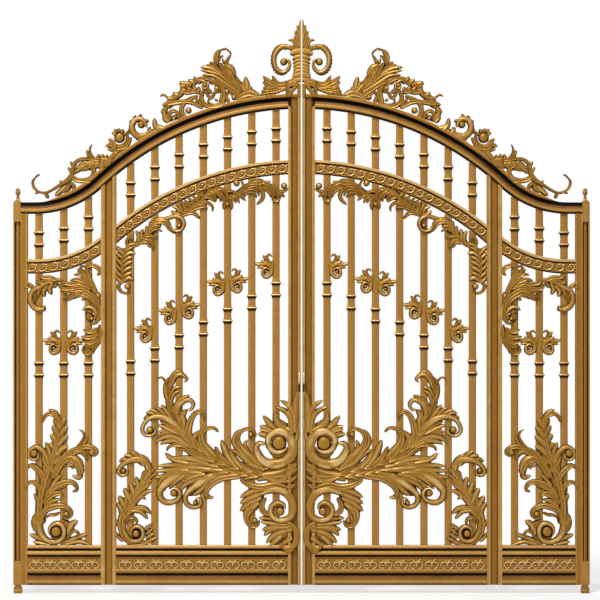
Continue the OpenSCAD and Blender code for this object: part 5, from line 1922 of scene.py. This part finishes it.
@dataclass
class CrownFinial(Casting):
    """A leaf's half of the plume, collar and scrolls over the crown."""

    part: str = "crown_finial"
    origin: Point = (0.0, PLAN.crown)

    def carve(self, f: Foliage) -> None:
        """Draw its stems, leaves and scrolls, the scroll's teeth and the neck's rings.

        Args:
            f: the plan to draw on.
        """
        f.web((42, 31, 16), 11, 286, 17, 359, 9, 437)
        f.stem((14, 7), 29, 312, 39, 343, 52, 359, 68, 356)
        f.scroll((17, 19, 17, 10), 23, 308, 86, 324, 117, 312, 138, 283, 143, 249, 133, 212, 104, 190,
            76, 199, 62, 225, 68, 250, 86, 257)
        f.web((31, 21, 31), 164, 103, 18, 129)
        f.web((37, 31, 37), 15, 139, 20, 296)
        f.stem((20, 17, 16, 19, 23, 9), 8, 147, 42, 147, 102, 129, 133, 136, 152, 172)
        f.stem((22, 20, 20, 22, 24, 26, 9), 13, 131, 44, 128, 107, 113, 170, 139, 200, 170)
        f.stem((16, 20, 22, 23, 9), 60, 117, 97, 107, 170, 121, 203, 140)
        f.stem((14, 18, 20, 19, 9), 81, 105, 112, 98, 144, 103, 175, 113, 201, 107)
        f.stem((17, 21, 21, 9), 107, 95, 138, 91, 175, 99, 210, 88)
        f.stem((18, 20, 17, 9), 133, 89, 170, 87, 196, 80, 219, 63)
        f.stem((21, 21), 10, 129, 10, 61)
        f.stem((18, 15, 16), 23, 126, 57, 82, 63, 61)
        f.stem((16, 18), 65, 116, 74, 92, 70, 59)
        f.stem((21, 21), 138, 92, 149, 77, 151, 56)
        f.stem((21, 21), 175, 92, 180, 56)
        f.blades(15, (3, 296, 7, 380, 6, 465), (11, 322, 35, 406), (15, 301, 41, 374))
        f.blades(14, (6, 348, 23, 434), (21, 291, 32, 314, 41, 346))
        f.balls(19, 93, 244)
        for degrees in range(-112, 120, 14):
            c, s = math.cos(math.radians(degrees)), math.sin(math.radians(degrees))
            f.blade(12, (103 + 42 * c, 250 + 62 * s, 104 + 50 * c, 254 + 74 * s,
                104 + 55 * c - 7 * s, 256 + 79 * s + 7 * c))
        for z, reach, w in ((290, 58, 30), (263, 47, 21), (243, 44, 18), (225, 42, 18),
                            (207, 42, 18), (189, 43, 19), (167, 47, 27), (144, 48, 19)):
            f.stem((w, w, 0.9 * w, 0.6 * w), -9, z + 8, 0.45 * reach, z + 6, 0.8 * reach, z,
                reach, z - 8, lift=3.0, section=Section.ROUND)


@dataclass
class FlowerCastings(Casting):
    """Small scrolled flowers on the sides of the long bars."""

    part: str = "flower_castings"
    crest: float = 19.0
    edge: float = 8.0
    reach: float = 17.0
    wide: Sequence[tuple[int, int, float]] = ((0, 1, 25.0), (2, 1, 70.0), (2, -1, 85.0),
        (4, 1, 55.0), (4, -1, 85.0), (5, 1, 30.0))
    narrow: Sequence[tuple[int, int, float]] = ((1, 1, 45.0), (1, -1, 45.0))

    def places(self) -> list[tuple[float, float, int]]:
        """Set out the flowers.

        Returns:
            Root (u, z) and direction of every one.
        """
        bars, sides = PLAN.wide_bars, PLAN.side_bars
        found = [(bars[i] + way * self.reach, PLAN.wide_collar(i) + up, way)
            for i, way, up in self.wide]
        return found + [(sides[i] + way * self.reach, PLAN.side_collar + up, way)
            for i, way, up in self.narrow]

    def draw(self, carving: Carving) -> None:
        """Lay every flower of the leaf, from its bar's face outwards.

        Args:
            carving: where to lay them.
        """
        for u, z, way in self.places():
            root, hand = np.array([u, z]), np.array([way, 1.0])
            self.carve(Foliage(carving, lambda p, root=root, hand=hand: root + p * hand,
                edge=self.edge, crest=self.crest))

    def carve(self, f: Foliage) -> None:
        """Draw one flower.

        Args:
            f: the plan to draw on.
        """
        f.scroll((18, 19, 15, 9), -3, 94, 5, 52, 11, 21, 34, 6, 51, 19, 51, 43, 34, 55, 21, 42)
        f.stem((16, 14, 8), 0, 57, 23, 89, 30, 112, 18, 125, 4, 112)
        f.blades(24, (0, 42, 31, 73, 63, 70, 97, 78))
        f.blades(18, (5, 68, 63, 91), (16, 73, 52, 121))
        f.blades(16, (5, 37, 47, 57, 84, 53))
        f.balls(11, 35, 33)


CASTINGS = (CrownFinial, CrestSpray, CrestScrolls, Garland, WideAcanthus, SideAcanthus,
    SideSpray, FlowerCastings)


# Studio


@dataclass
class Studio:
    """Floor, lights, white surround and camera."""

    target: Triple = (1.472, 0.0, 1.5295)
    lens: float = 150.0
    sensor: float = 36.0
    seen_width: float = 3.132
    floor_reach: float = 9.0

    def floor(self) -> None:
        """A plain pale floor that fades into the white surround."""
        mesh, x, r = bpy.data.meshes.new("floor"), self.target[0], self.floor_reach
        corners = [(x - r, -r, 0), (x + r, -r, 0), (x + r, r, 0), (x - r, r, 0)]
        mesh.from_pydata(corners, [], [(0, 1, 2, 3)])
        sheet = ShaderSheet(bpy.data.materials.new("studio_floor"))
        sheet.feed({"Base Color": (0.86, 0.86, 0.85, 1), "Roughness": 0.9,
            "Specular IOR Level": 0.1})
        place = sheet.add("ShaderNodeTexCoord", output="Object")
        away = sheet.add("ShaderNodeVectorMath", {"operation": "DISTANCE"},
            {0: place, 1: (x, 0, 0)}, "Value")
        seen = sheet.add("ShaderNodeLightPath", output="Is Camera Ray")
        white = sheet.add("ShaderNodeEmission", values={"Color": (1, 1, 1, 1)})
        fade = seen * (away.between(1.0, 4.5) * 0.45 + 0.55)
        sheet.show(sheet.add("ShaderNodeMixShader",
            values={0: fade, 1: sheet.surface, 2: white}))
        mesh.materials.append(sheet.holder)
        in_scene("floor", mesh)

    def surround(self) -> None:
        """White to the camera, a soft fill on the gate."""
        world = bpy.data.worlds.new("studio")
        bpy.context.scene.world = world
        sheet = ShaderSheet(world, "ShaderNodeOutputWorld", "ShaderNodeBackground")
        sheet.feed({"Color": (1.0, 0.98, 0.95, 1), "Strength": 0.22})
        white = sheet.add("ShaderNodeBackground", values={"Color": (1, 1, 1, 1)})
        seen = sheet.add("ShaderNodeLightPath", output="Is Camera Ray")
        sheet.show(sheet.add("ShaderNodeMixShader",
            values={0: seen, 1: sheet.surface, 2: white}))

    def lamp(self, name: str, place: Triple, size: float, watts: float, aim: Triple) -> None:
        """Add a soft square lamp.

        Args:
            name: its name.
            place: where it hangs.
            size: its width.
            watts: its power.
            aim: the point that it faces.
        """
        data = bpy.data.lights.new(name, "AREA")
        data.size, data.energy = size, watts
        lamp = in_scene(name, data)
        lamp.location = place
        away = Vector(np.array(place) - np.array(aim))
        lamp.rotation_euler = away.to_track_quat("Z", "Y").to_euler()

    def camera(self) -> None:
        """A long lens straight in front."""
        data = bpy.data.cameras.new("camera")
        data.lens, data.sensor_width = self.lens, self.sensor
        camera = in_scene("camera", data)
        back = self.seen_width / self.sensor * self.lens
        camera.location = (self.target[0], -back, self.target[2])
        camera.rotation_euler = (math.pi / 2, 0, 0)
        bpy.context.scene.camera = camera

    def make(self) -> None:
        """Build the studio."""
        self.camera()
        self.floor()
        self.surround()
        x = self.target[0]
        self.lamp("key_above", (x - 1.4, -4.6, 9.4), 2.8, 1050.0, (x, 0, 1.4))
        self.lamp("fill_left", (x - 4.2, -4.6, 2.6), 2.4, 60.0, (x, 0, 1.4))
        self.lamp("rear_above", (x, 3.8, 4.8), 2.6, 160.0, (x, 0, 1.6))
        bpy.context.scene.view_settings.view_transform = "Standard"


def main() -> None:
    """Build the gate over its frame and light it."""
    logging.basicConfig(level=logging.INFO, format="%(name)s: %(message)s")
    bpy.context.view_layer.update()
    Studio().make()
    dresser = Dresser()
    for side in Side:
        for maker in (LeafFrame, Patterns, Bars, Post, Pull, *CASTINGS):
            log.info("building %s of the %s leaf", maker.__name__, side.value)
            maker(side, dresser).make()


if __name__ == "__main__":
    main()
